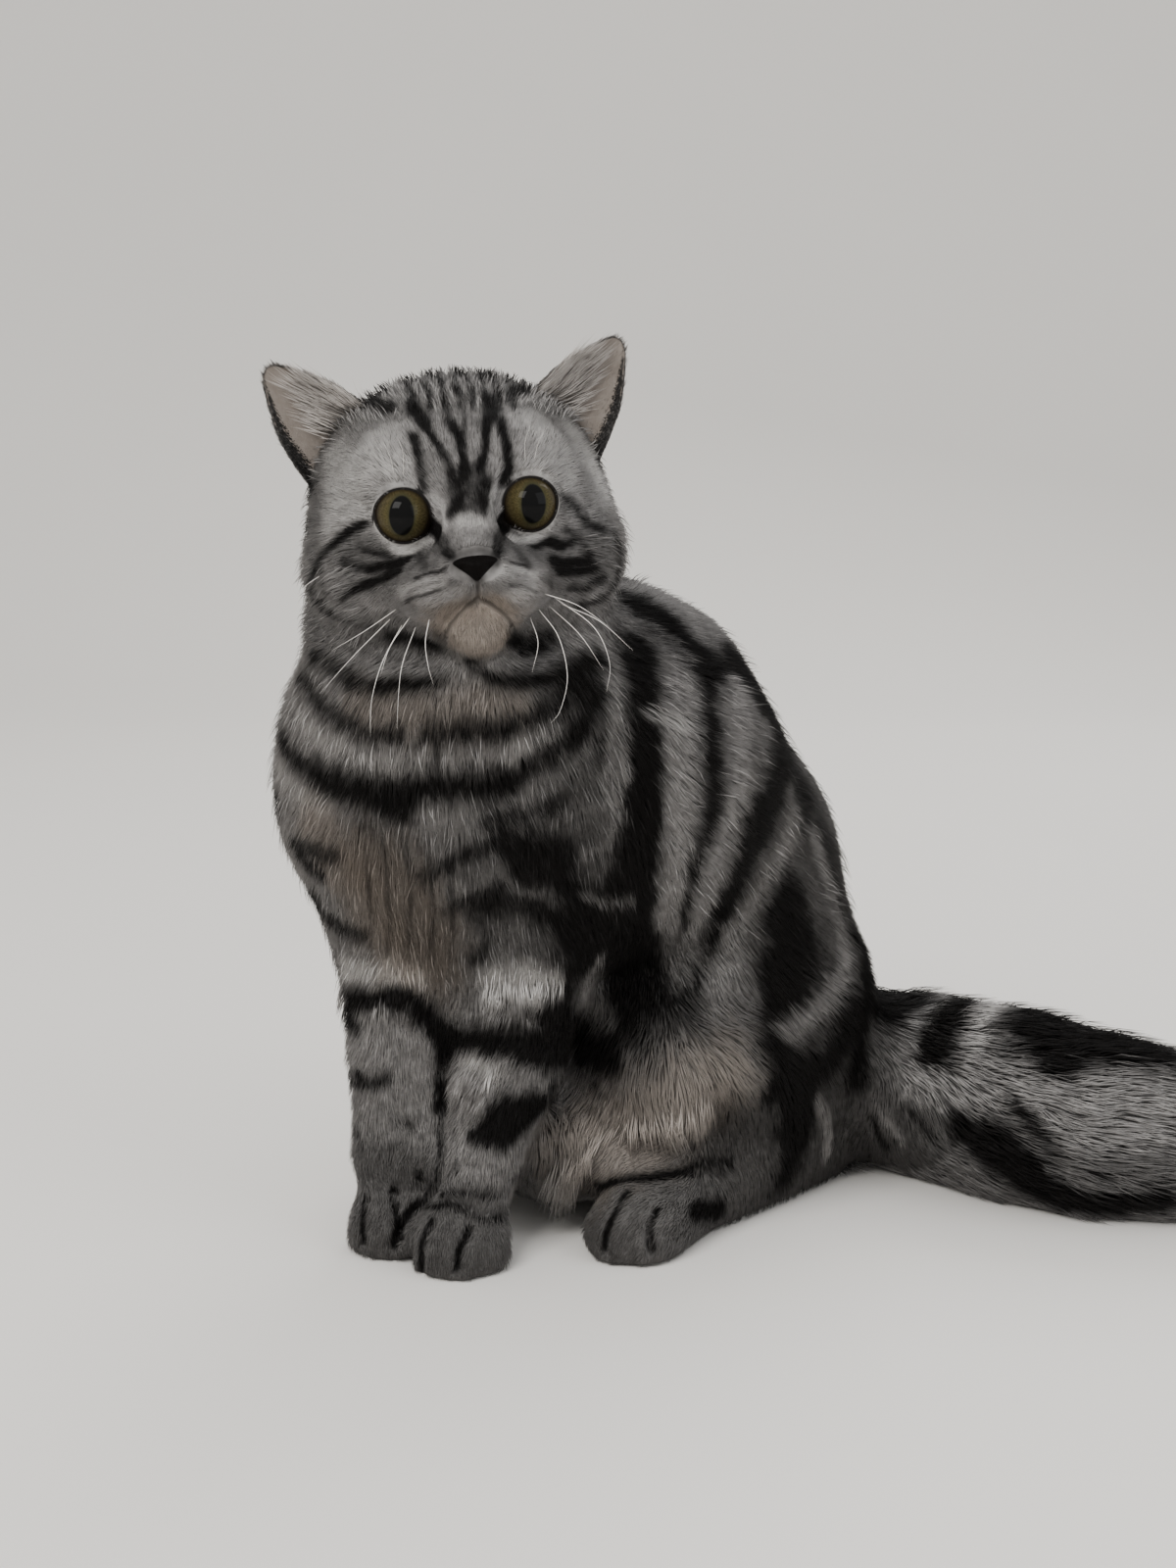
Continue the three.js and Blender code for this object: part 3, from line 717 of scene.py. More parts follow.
NOSE_CENTRE = np.array((0, -59.0, -18.3))
gap = mouth_gap(in_head)
in_head[:, 1] += (2.0 - 1.4 * ramp(3, 11, np.abs(in_head[:, 0]))) * np.exp(-((gap / 1.5) ** 2))
chin = np.hypot(in_head[:, 0] / 8.5, (in_head[:, 2] + 44.5) / 6.5)
in_head[:, 1] -= 1.8 * np.exp(-(chin**2)) * (in_head[:, 1] < -34)
nose_gap = np.linalg.norm((in_head - NOSE_CENTRE) / np.array((9.2, 8, 6.0)), axis=1)
in_head[:, 1] += 1.8 * (1 - ramp(0.6, 1.1, nose_gap))
inner = moved(HEAD, in_head)
coat_form = form_of(skin, outer)
seams = [np.array([spot for spot in thrown_line(corners) if spot is not None]) for corners in TOE_SEAMS]
seam_gap = np.min([off_line(outer, seam) for seam in seams], axis=0) / MM
normals = normals_of(skin)
carved = 2.6 * np.exp(-((seam_gap / 1.5) ** 2)) - 0.9 * np.exp(-(((seam_gap - 4.5) / 2.5) ** 2))
leg_line = [spot for spot in thrown_line(LEG_LINE) if spot is not None]
leg_gap = off_line(outer, leg_line) / MM
carved += 3.5 * np.exp(-((leg_gap / 2.2) ** 2))
inner -= normals * MM * carved[:, None]
inner[:, 2] = np.maximum(inner[:, 2], 0.0004)
put_points(skin, inner)
normals = normals_of(skin)
lie -= np.sum(lie * normals, axis=1)[:, None] * normals
lie /= np.maximum(np.linalg.norm(lie, axis=1), 1e-9)[:, None]
outer = inner + normals * (depth * MM)[:, None]
coat_form = form_of(skin, outer)
bpy.ops.object.select_all(action="DESELECT")
skin.select_set(True)
bpy.context.view_layer.objects.active = skin
bpy.ops.object.shade_smooth()

# %% [markdown]
# ## Eyes
# A cat's eye is a ball with a clear dome in front. It is made as one ball whose front bulges,
# with the iris and the tall pupil in its material, under a thin glossy coat like a tear film.
# %% Eye colours
CORNEA = 1.3  # how far the clear dome stands out of the ball
PUPIL = (4.4, 7.0)  # half its width and height


def eye_material(sign, turned):
    eye = Nodes(f"amber_eye_{sign}")
    place = eye.add("TexCoord").outputs["Object"]
    settings = {"Vector": place, "Location": eye_centre(sign), "Rotation": turned.to_euler()}
    own = eye.add("Mapping", settings, vector_type="TEXTURE").outputs[0]
    xyz = eye.add("SeparateXYZ", {0: own}).outputs
    x = eye.math("DIVIDE", xyz[0], MM)
    y = eye.math("DIVIDE", xyz[1], MM)
    off_axis = eye.math("SQRT", eye.math("ADD", eye.math("POWER", x, 2.0), eye.math("POWER", y, 2.0)))
    angle = eye.math("ARCTAN2", y, x)
    threads = eye.add("CombineXYZ", {0: eye.math("MULTIPLY", angle, 5.0), 1: eye.math("MULTIPLY", off_axis, 0.35)})
    fibre = eye.noise(threads.outputs[0], 3.0, 4.0)
    slit_x = eye.math("POWER", eye.math("DIVIDE", x, PUPIL[0]), 2.0)
    slit_y = eye.math("POWER", eye.math("DIVIDE", y, PUPIL[1]), 2.0)
    off_pupil = eye.math("SQRT", eye.math("ADD", slit_x, slit_y))
    amber = eye.mix(eye.ramp(off_axis, 4.0, 8.0), (0.08, 0.07, 0.028, 1), (0.055, 0.043, 0.02, 1))
    amber = eye.mix(eye.ramp(fibre, 0.35, 0.7), amber, (0.026, 0.022, 0.01, 1))
    amber = eye.mix(eye.ramp(off_pupil, 1.25, 1.0), amber, (0.032, 0.03, 0.015, 1))
    amber = eye.mix(eye.ramp(off_axis, 8.0, 9.2), amber, (0.012, 0.009, 0.006, 1))
    colour = eye.mix(eye.ramp(off_pupil, 1.03, 0.95), amber, (0.004, 0.004, 0.004, 1))
    eye.feed(eye.shader, "Base Color", colour)
    eye.feed(eye.shader, "Roughness", 0.5)
    eye.feed(eye.shader, "Specular IOR Level", 0.0)
    eye.feed(eye.shader, "Coat Weight", 0.28)
    eye.feed(eye.shader, "Coat Roughness", 0.02)
    eye.feed(eye.shader, "Coat IOR", 1.33)
    return eye.material


# %% Eyeballs
def eyeball(side, sign):
    gaze = HEAD.to_3x3() @ Vector((sign * math.sin(GAZE_OUT), -math.cos(GAZE_OUT), 0))
    turned = gaze.to_track_quat("Z", "Y")
    bpy.ops.object.select_all(action="DESELECT")
    bpy.ops.mesh.primitive_uv_sphere_add(
        segments=72, ring_count=48, radius=EYE_RADIUS * MM, location=eye_centre(sign), rotation=turned.to_euler()
    )
    ball = bpy.context.object
    ball.name = f"eyeball_{side}"
    points = points_of(ball)
    front = points[:, 2] / (EYE_RADIUS * MM)
    points *= (1 + CORNEA / EYE_RADIUS * ramp(0.62, 1.0, front))[:, None]
    put_points(ball, points)
    bpy.ops.object.transform_apply(location=True, rotation=True, scale=True)
    bpy.ops.object.shade_smooth()
    ball.data.materials.append(eye_material(sign, turned))
    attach(ball, "root")
    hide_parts(f"eye_{side}")


for side, sign in SIDES.items():
    eyeball(side, sign)
print("both eyes are in")

# %% [markdown]
# ## Nose
# The nose leather is a soft wedge: broad above, pointed below, with a nostril on each side. A
# ball is drawn in towards its lower end, flattened on top and pressed in at the nostrils.
# %% Nose leather
NOSE_SIZE = (8.4, 5.2, 4.6)  # half its width, depth and height
bpy.ops.object.select_all(action="DESELECT")
bpy.ops.mesh.primitive_uv_sphere_add(segments=64, ring_count=48, radius=1.0)
nose = bpy.context.object
nose.name = "nose_leather"
ball = points_of(nose)
up = ball[:, 2]
shaped = ball * np.array(NOSE_SIZE)
shaped[:, 0] *= 0.3 + 0.72 * ramp(-1.0, 0.55, up)
shaped[:, 2] = np.where(up > 0, up * 3.2, up * 5.6)
shaped[:, 1] += 1.0 * np.maximum(up, 0) + 1.6 * (shaped[:, 0] / NOSE_SIZE[0]) ** 2
for sign in SIDES.values():
    hole = np.linalg.norm((shaped - np.array((sign * 4.4, -2.6, -0.4))) / np.array((1.7, 3.0, 1.1)), axis=1)
    shaped[:, 1] += 1.7 * np.exp(-(hole**2))
cleft = np.exp(-((shaped[:, 0] / 0.5) ** 2)) * (shaped[:, 1] < 0)
shaped[:, 1] += 0.5 * cleft
put_points(nose, moved(HEAD, shaped + NOSE_CENTRE))
bpy.ops.object.shade_smooth()
leather = Nodes("dark_nose")
place = leather.add("TexCoord").outputs["Object"]
pebbles = leather.add("TexVoronoi", {"Vector": place, "Scale": 1600.0}).outputs["Distance"]
tint = leather.mix(leather.noise(place, 300.0), (0.0012, 0.0009, 0.0008, 1), (0.003, 0.002, 0.0018, 1))
leather.feed(leather.shader, "Base Color", tint)
leather.feed(leather.shader, "Roughness", 0.6)
leather.feed(leather.shader, "Specular IOR Level", 0.05)
bump = leather.add("Bump", {"Height": pebbles, "Strength": 0.35, "Distance": 0.0003})
leather.feed(leather.shader, "Normal", bump.outputs[0])
nose.data.materials.append(leather.material)
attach(nose, "root")
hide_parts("nose")
print("the nose has", len(nose.data.polygons), "faces")

# %% [markdown]
# ## Unwrap
# The skin is unwrapped into flat patches, which a painter would need. The coat uses the same
# map: each tuft is a tiny patch at its root's place on it.
# %% Unwrap the skin
UV_NAME = "OFBake"
bpy.ops.object.select_all(action="DESELECT")
skin.select_set(True)
bpy.context.view_layer.objects.active = skin
skin.data.uv_layers.new(name=UV_NAME)
bpy.ops.object.mode_set(mode="EDIT")
bpy.ops.mesh.select_all(action="SELECT")
bpy.ops.uv.smart_project(angle_limit=math.radians(70), island_margin=0.002)
bpy.ops.object.mode_set(mode="OBJECT")
skin.data.calc_loop_triangles()
triangles = np.empty(len(skin.data.loop_triangles) * 3, np.int32)
skin.data.loop_triangles.foreach_get("vertices", triangles)
triangles = triangles.reshape(-1, 3)
loops = np.empty(triangles.size, np.int32)
skin.data.loop_triangles.foreach_get("loops", loops)
uv_flat = np.empty(len(skin.data.loops) * 2, np.float32)
skin.data.uv_layers[UV_NAME].data.foreach_get("uv", uv_flat)
uv_corners = uv_flat.reshape(-1, 2)[loops].reshape(-1, 3, 2)
print("the skin has", len(triangles), "triangles")

# %% [markdown]
# ## Markings
# A classic tabby is silver with charcoal bands: an M over the eyes, lines on the cheeks,
# necklaces, a blotch with a ring on each flank, and rings on the legs and tail. They are laid
# on as strokes, as with a brush: each is a few points of the camera's picture, thrown along the
# line of sight onto the coat. A brush is dark, grey or silver, or it adds a pale or warm tint,
# and a later stroke covers an earlier one. Skin and tufts both ask the same strokes. Some
# strokes are painted shade, not markings: along the mouth, in the gap between the forelegs and
# the creases between the toes, on the hind foot under the belly's long hair, and under the tail.
# %% Brushes
BRUSHES = {"dark": ("dark", 1.0), "grey": ("dark", 0.55), "silver": ("dark", 0.06)}
BRUSHES.update({"pale": ("pale", 1.0), "warm": ("warm", 1.0)})
MARKS = []
SPINE = [(HIPS, (0, 0, 70)), (HIPS, (0, -10, 130)), (RIBS, (5, 0, 180)), (CHEST, (0, 0, 185)), (THROAT, (0, 10, 225))]
TAIL = []
for x, y, turn in ((160, 145, 118), (205, 120, 112), (262, 78, 104), (320, 63, 95), (382, 78, 75)):
    TAIL.append((station(x, y, 36, turn), (0, 0, 0)))


def mirrored(point, stations):
    """The same place on the other side of the body or tail, found across its nearest stations."""
    total, shares = Vector((0, 0, 0)), 0
    for where, middle in stations:
        share = 1 / ((point - where @ Vector(middle)).length ** 4 + 1e-9)
        local = where.inverted() @ point
        local.x = -local.x
        total += where @ local * share
        shares += share
    return coat_form.find_nearest(total / shares)[0]


def lay(kind, width, spots, strength):
    MARKS.append((kind, width, np.array(spots) / MM, strength))


def stroke(kind, width, *corners, strength=1.0, both_sides=None):
    """A brush stroke through points of the picture. Its width is half the band's, in mm."""
    spots = [spot for spot in thrown_line(corners) if spot is not None]
    lay(kind, width, spots, strength)
    if both_sides:
        lay(kind, width, [mirrored(spot, both_sides) for spot in spots], strength)


def wrap(kind, width, where, *corners, strength=1.0, paired=False):
    """A stroke on a side that the camera doesn't see, through places of a station."""
    for sign in (1, -1) if paired else (1,):
        spots = [where @ Vector((sign * x, y, z)) for x, y, z in curved(corners)]
        lay(kind, width, [coat_form.find_nearest(spot)[0] for spot in spots], strength)


def bracelet(kind, width, centre, reach, first, last, strength=1.0):
    """Part of a ring round a leg, between two angles counted from straight left."""
    angles = np.radians(np.linspace(first, last, 14))
    spots = [GROUND @ (Vector(centre) + Vector((reach * math.cos(a), reach * math.sin(a), 0))) for a in angles]
    lay(kind, width, [coat_form.find_nearest(spot)[0] for spot in spots], strength)


# %% Head markings
stroke("pale", 9, (335, 470), (350, 500), (335, 535), strength=0.7)
stroke("pale", 8, (385, 445), (365, 475), (365, 510), strength=0.55)
stroke("pale", 5, (402, 475), (412, 488), strength=0.6)
stroke("pale", 9, (545, 425), (565, 450), (585, 480), strength=0.55)
stroke("pale", 8, (590, 440), (608, 470), (615, 500), strength=0.7)
stroke("pale", 4, (545, 470), (565, 478), strength=0.5)
stroke("grey", 6, (440, 385), (470, 380), (510, 386), strength=0.9)
for x in (418, 436, 452, 467, 481, 494, 508, 524):
    stroke("dark", 1.5, (x - 8, 378), (x, 396), (x + 2, 412), strength=0.9)
for x in (444, 474, 488):
    stroke("silver", 1.2, (x, 398), (x + 1, 424), strength=0.8)
stroke("dark", 3.6, (366, 404), (382, 410), (394, 413))
stroke("dark", 3.2, (545, 392), (530, 396), (520, 400))
stroke("dark", 3.2, (419, 408), (424, 418), (432, 428))
stroke("dark", 3.4, (500, 402), (502, 414), (499, 426))
for corners in (
    ((423, 440), (425, 458), (427, 476), (433, 498)),
    ((433, 430), (444, 448), (455, 468), (462, 490)),
    ((456, 424), (467, 440), (472, 458), (474, 482)),
    ((499, 424), (495, 440), (493, 458), (489, 478)),
    ((511, 424), (515, 444), (521, 468), (516, 492)),
):
    stroke("dark", 2.0, *corners)
stroke("dark", 1.4, (452, 402), (457, 418), (466, 436), strength=0.8)
stroke("dark", 1.2, (473, 400), (474, 418), (473, 436), strength=0.8)
stroke("dark", 5.2, (477, 482), (478, 505), (479, 516), strength=0.72)
stroke("dark", 3.2, (460, 490), (463, 506), (461, 522), strength=0.85)
stroke("dark", 3.2, (498, 488), (495, 504), (499, 520), strength=0.85)
stroke("pale", 1.8, (443, 505), (451, 520), (453, 538), strength=0.6)
stroke("pale", 1.8, (506, 498), (503, 512), (502, 528), strength=0.6)
stroke("silver", 3.6, (480, 538), (482, 556), strength=0.5)
stroke("pale", 2.6, (472, 530), (480, 526), (488, 530), strength=0.7)
stroke("grey", 4.5, (434, 546), (450, 558), (462, 568), strength=0.9)
stroke("grey", 4.5, (524, 542), (512, 554), (504, 566), strength=0.9)
stroke("grey", 7, (420, 586), (446, 592), (474, 584), (506, 588), (540, 584), strength=0.5)
stroke("grey", 7, (416, 612), (446, 612), (470, 612), strength=0.4)
stroke("grey", 7, (318, 496), (314, 545), (320, 596), strength=0.75)
stroke("grey", 6, (604, 492), (622, 524), (628, 560), strength=0.75)
stroke("grey", 6, (424, 482), (440, 470), (446, 492), strength=0.4)
stroke("dark", 2.6, (446, 540), (451, 552), (458, 566), strength=0.85)
stroke("dark", 2.6, (514, 534), (511, 546), (509, 562), strength=0.85)
stroke("dark", 1.8, (437, 528), (442, 540), (445, 550))
stroke("dark", 1.8, (516, 525), (514, 536), (517, 545))
stroke("grey", 7, (345, 556), (380, 566), (420, 566), strength=0.9)
stroke("grey", 6, (334, 604), (370, 606), (400, 600), strength=0.7)
stroke("grey", 7, (548, 562), (585, 560), (620, 562), strength=0.75)
stroke("grey", 6, (566, 592), (598, 596), (626, 590), strength=0.7)
stroke("grey", 4, (452, 548), (480, 556), (508, 544), strength=0.4)
for corners in (
    ((374, 531), (350, 543), (334, 555), (322, 570)),
    ((366, 533), (346, 546), (330, 558)),
    ((323, 568), (316, 588), (313, 604), (322, 622)),
    ((322, 618), (342, 634), (366, 643), (392, 647)),
    ((345, 574), (366, 582), (390, 578), (414, 570)),
    ((406, 582), (386, 592), (366, 600), (346, 612)),
):
    stroke("dark", 2.0, *corners)
stroke("dark", 1.5, (362, 560), (380, 566), (400, 564), strength=0.7)
stroke("dark", 2.2, (425, 566), (432, 578), strength=0.55)
stroke("dark", 2.2, (530, 560), (540, 574), strength=0.55)
stroke("silver", 3.5, (333, 585), (336, 602), strength=0.7)
stroke("silver", 3.0, (362, 618), (385, 620), strength=0.7)
for corners in (
    ((577, 503), (590, 516), (603, 531), (621, 541)),
    ((545, 556), (560, 552), (578, 556), (594, 548)),
    ((566, 572), (585, 575), (606, 570)),
    ((574, 582), (592, 586), (612, 580)),
    ((588, 603), (604, 602), (618, 592)),
    ((592, 622), (612, 617), (626, 604), (634, 588)),
    ((632, 545), (636, 566), (634, 590)),
):
    stroke("dark", 2.2, *corners)
stroke("dark", 1.5, (580, 540), (592, 546), (604, 560), strength=0.7)
stroke("dark", 1.5, (556, 590), (566, 600), strength=0.5)
for corners in (
    ((414, 606), (428, 598), (446, 594)),
    ((412, 616), (428, 608), (448, 603)),
    ((422, 590), (436, 584), (452, 582)),
    ((524, 574), (536, 576), (548, 582)),
    ((526, 586), (540, 588), (552, 594)),
    ((524, 598), (540, 600), (550, 606)),
):
    stroke("dark", 0.8, *corners, strength=0.9)
stroke("pale", 2.0, (378, 538), (389, 551), (406, 559), (424, 557), (437, 549), strength=1.0)
stroke("pale", 2.2, (523, 546), (541, 550), (560, 541), (573, 522), (574, 508), strength=1.0)
stroke("pale", 2.6, (404, 606), (424, 599), (446, 594), strength=0.6)
stroke("pale", 2.4, (428, 616), (452, 609), (470, 604), strength=0.35)
stroke("pale", 3.2, (552, 586), (548, 598), (530, 606), strength=0.45)
stroke("pale", 2.6, (502, 586), (524, 582), (548, 586), strength=0.7)
# Painted shade: a soft brown shadow along the mouth's line, under the whisker pads.
stroke("warm", 5, (455, 630), (470, 622), (486, 616), (508, 622), strength=0.5)
stroke("warm", 15, (472, 652), (500, 652), strength=0.75)
stroke("pale", 9, (478, 648), (486, 650), (496, 647), strength=0.6)
stroke("dark", 2.2, (444, 650), (450, 664), (462, 676), strength=0.5)
stroke("dark", 2.2, (524, 644), (520, 658), (510, 672), strength=0.5)
# Painted shade along the mouth's line.
stroke("grey", 1.5, (452, 634), (466, 622), (484, 614), (500, 618), (518, 628), strength=0.45)
wrap("grey", 16, HEAD, (0, 20, 50), (0, 48, 36), (0, 66, 0), (0, 72, -40), strength=0.8)
for side, wide, last in ((5, 2.4, -22), (14, 3.0, -6), (26, 3.4, -50)):
    wrap("dark", wide, HEAD, (side, 2, 50), (side * 1.2, 30, 45), (side, 56, 20), (side * 0.7, 68, last), paired=True)
wrap("dark", 4.5, HEAD, (0, 40, 45), (0, 66, 10), (0, 72, -30), (0, 78, -56))
for drop in (12, -4, -24):
    wrap("dark", 2.8, HEAD, (56, 0, drop), (60, 22, drop - 6), (48, 48, drop - 4), (30, 62, drop), paired=True)

# %% Neck and breast markings
stroke("grey", 13, (560, 690), (590, 740), (596, 800), (580, 850), strength=0.75)
stroke("grey", 13, (500, 890), (520, 930), (536, 975), strength=0.85)
stroke("grey", 12, (312, 648), (350, 660), (392, 656), strength=0.55)
stroke("grey", 14, (410, 860), (440, 890), (480, 850), strength=0.5)
for width, corners in (
    (3.8, ((312, 672), (330, 682), (345, 694), (372, 704), (405, 702), (445, 700))),
    (3.8, ((482, 684), (506, 696), (540, 698), (575, 690), (612, 672))),
    (5.4, ((585, 692), (604, 684), (618, 672))),
    (3.6, ((400, 655), (420, 658), (440, 664))),
    (3.6, ((524, 656), (545, 660), (566, 652))),
    (4.0, ((300, 694), (322, 724), (348, 746), (376, 757), (405, 756))),
    (4.9, ((440, 756), (470, 754), (505, 752), (540, 742), (575, 724), (606, 696))),
    (5.2, ((274, 724), (282, 756), (302, 784), (330, 800))),
    (7.4, ((325, 800), (360, 812), (410, 812), (450, 812), (490, 810), (515, 803))),
    (5.0, ((515, 802), (545, 790), (575, 770), (600, 745), (622, 706))),
    (4.8, ((345, 815), (385, 826), (408, 838))),
    (1.9, ((412, 790), (424, 770), (440, 760))),
    (1.7, ((436, 794), (446, 776))),
    (3.9, ((502, 848), (532, 842), (562, 831), (590, 814), (614, 786), (628, 752))),
    (3.9, ((298, 866), (318, 874), (340, 882))),
    (3.4, ((300, 872), (314, 890), (326, 898))),
    (2.8, ((364, 852), (385, 860))),
    (3.3, ((428, 902), (456, 890), (488, 876), (520, 868))),
    (6.6, ((524, 870), (560, 872), (590, 880))),
    (5.0, ((535, 896), (570, 902), (610, 905))),
    (3.4, ((458, 938), (480, 925), (512, 914))),
    (5.4, ((488, 940), (515, 932), (545, 934), (575, 950), (600, 965))),
    (3.6, ((482, 986), (500, 968))),
    (3.4, ((324, 938), (346, 954), (368, 960))),
    (9.0, ((655, 655), (662, 700), (664, 760), (660, 830), (654, 900), (650, 960))),
    (13.5, ((612, 880), (600, 940), (585, 985))),
    (11.5, ((632, 975), (640, 1020), (648, 1062))),
):
    stroke("dark", width, *corners)
stroke("grey", 8, (600, 800), (610, 850), (606, 890), strength=0.7)
stroke("silver", 2.5, (633, 690), (632, 740), (625, 800), strength=0.8)
stroke("silver", 2.8, (640, 770), (640, 800), (628, 830), strength=0.7)
stroke("silver", 2.0, (598, 880), (618, 870), (628, 850), strength=0.6)
stroke("silver", 2.6, (600, 920), (625, 930), (645, 925), strength=0.5)
stroke("silver", 2.4, (612, 985), (600, 1010), (596, 1040), (612, 1062), strength=0.6)
stroke("pale", 3.5, (668, 730), (690, 736), (705, 744), strength=0.8)
stroke("grey", 11, (515, 955), (540, 975), (552, 985), strength=0.6)
for level, corners in (
    (0.5, ((300, 735), (330, 765), (380, 785), (430, 785))),
    (0.4, ((520, 775), (550, 760))),
    (0.55, ((280, 790), (300, 815), (330, 830))),
    (0.4, ((440, 835), (480, 830))),
):
    stroke("pale", 4.5, *corners, strength=level)
stroke("warm", 16, (380, 890), (420, 930), (430, 985), strength=0.65)
stroke("grey", 16, (370, 880), (420, 930), (450, 975), strength=0.5)
stroke("warm", 12, (320, 850), (350, 900), (380, 950), strength=0.5)
stroke("warm", 10, (370, 725), (440, 735), (520, 725), strength=0.45)
for across in (372, 392, 414, 436, 456):
    stroke("dark", 1.2, (across, 870), (across + 6, 930), (across + 3, 985), strength=0.6)
wrap("dark", 5, CHEST, (-66, -20, 200), (-72, 5, 198), (-70, 30, 205))
wrap("dark", 6, CHEST, (-66, -24, 170), (-74, 5, 165), (-72, 30, 170))
wrap("dark", 5, CHEST, (-50, -24, 132), (-58, 0, 126), (-56, 25, 130))
wrap("dark", 9, CHEST, (-50, 10, 112), (-56, 30, 120), (-60, 40, 140))

stroke("dark", 9, (652, 606), (690, 640), (735, 682))
stroke("silver", 2.0, (668, 632), (694, 652), (716, 676), strength=0.5)
wrap("dark", 10, THROAT, (-50, 40, 235), (-60, 40, 215), (-66, 40, 195))

# %% Flank and haunch markings
for kind, width, corners in (
    ("dark", 13, ((760, 680), (800, 745), (835, 830), (860, 900))),
    ("silver", 6.0, ((697, 700), (698, 780), (696, 850), (690, 910), (676, 965), (664, 1005))),
    ("dark", 4.6, ((727, 690), (733, 760), (733, 830), (718, 885), (706, 935))),
    ("dark", 3.6, ((706, 935), (700, 985), (690, 1030), (680, 1055))),
    ("silver", 4.8, ((758, 700), (762, 760), (757, 820), (734, 880), (718, 935))),
    ("silver", 3.6, ((718, 935), (704, 975), (690, 1012))),
    ("dark", 10.0, ((804, 750), (798, 800), (778, 850))),
    ("dark", 6.6, ((778, 850), (762, 890), (745, 930))),
    ("dark", 4.6, ((745, 930), (726, 975), (706, 1020), (690, 1052))),
    ("silver", 4.2, ((818, 838), (802, 876), (778, 918), (752, 962))),
    ("silver", 4.4, ((752, 962), (742, 1000), (724, 1040), (700, 1072))),
    ("dark", 9.0, ((808, 918), (806, 930))),
    ("dark", 14.0, ((812, 965), (808, 1000))),
    ("dark", 10.5, ((802, 1025), (796, 1060), (800, 1095))),
    ("silver", 4.4, ((836, 856), (850, 905), (862, 945), (868, 975))),
    ("silver", 4.2, ((872, 975), (862, 1008), (838, 1036), (808, 1058))),
    ("dark", 6.0, ((862, 900), (884, 950), (890, 1000), (880, 1045))),
    ("dark", 9.0, ((880, 1040), (860, 1075), (835, 1100), (800, 1110))),
    ("dark", 13.0, ((820, 1120), (815, 1160), (800, 1195))),
    ("silver", 3.0, ((838, 1128), (846, 1155), (846, 1182))),
):
    stroke(kind, width, *corners, both_sides=SPINE)
stroke("dark", 10.0, (652, 965), (666, 1005), (680, 1035), (700, 1040), strength=0.9, both_sides=SPINE)
stroke("grey", 13, (620, 1120), (670, 1082), (725, 1055), (760, 1050), strength=0.55, both_sides=SPINE)
stroke("pale", 12, (600, 1175), (680, 1130), (735, 1100), (765, 1100), strength=0.4, both_sides=SPINE)
stroke("pale", 12, (570, 1200), (640, 1175), (700, 1150), strength=0.35, both_sides=SPINE)
stroke("warm", 20, (600, 1180), (660, 1150), (740, 1110), strength=0.6, both_sides=SPINE)
# Painted shade: in the hollow between the foreleg and the hind foot, and on the hind foot under the belly's long
# hair. A dark line of painted shadow runs where that hair hangs over the foot.
stroke("grey", 9, (545, 1150), (570, 1190), (600, 1215), strength=0.45)
stroke("grey", 12, (690, 1210), (740, 1205), (780, 1200), strength=0.8, both_sides=SPINE)
stroke("dark", 2.6, (606, 1216), (628, 1205), (660, 1200), (700, 1194), (750, 1192))
stroke("dark", 4.5, (712, 1238), (735, 1240), both_sides=SPINE)
wrap("dark", 9, THROAT, (0, 62, 262), (0, 72, 244), (0, 84, 226))
wrap("dark", 11, RIBS, (4, 66, 250), (8, 78, 225), (10, 86, 190), (8, 88, 150))
wrap("dark", 11, HIPS, (0, 56, 160), (0, 66, 125), (0, 72, 90), (0, 72, 40))
for side in (26, 48):
    wrap("dark", 5, THROAT, (side, 48, 250), (side + 4, 60, 232), (side + 8, 66, 214), paired=True)
    wrap("dark", 6, RIBS, (side, 58, 232), (side + 6, 70, 205), (side + 8, 74, 165), paired=True)
for side, wide in ((17, 3.0), (37, 4.5)):
    wrap("silver", wide, RIBS, (side, 60, 236), (side + 4, 76, 200), (side + 4, 80, 150), paired=True, strength=0.55)
wrap("silver", 3.5, HIPS, (17, 52, 150), (20, 64, 110), (21, 70, 70), (16, 72, 40), paired=True, strength=0.5)
for side in (34, 56):
    wrap("dark", 6, HIPS, (side, 44, 130), (side + 2, 54, 95), (side - 2, 56, 60), paired=True, strength=0.85)

for where, depth_back in ((RIBS, 60), (HIPS, 40)):
    wrap("grey", 16, where, (40, depth_back, 210), (60, depth_back, 170), (66, depth_back, 120), paired=True, strength=0.5)

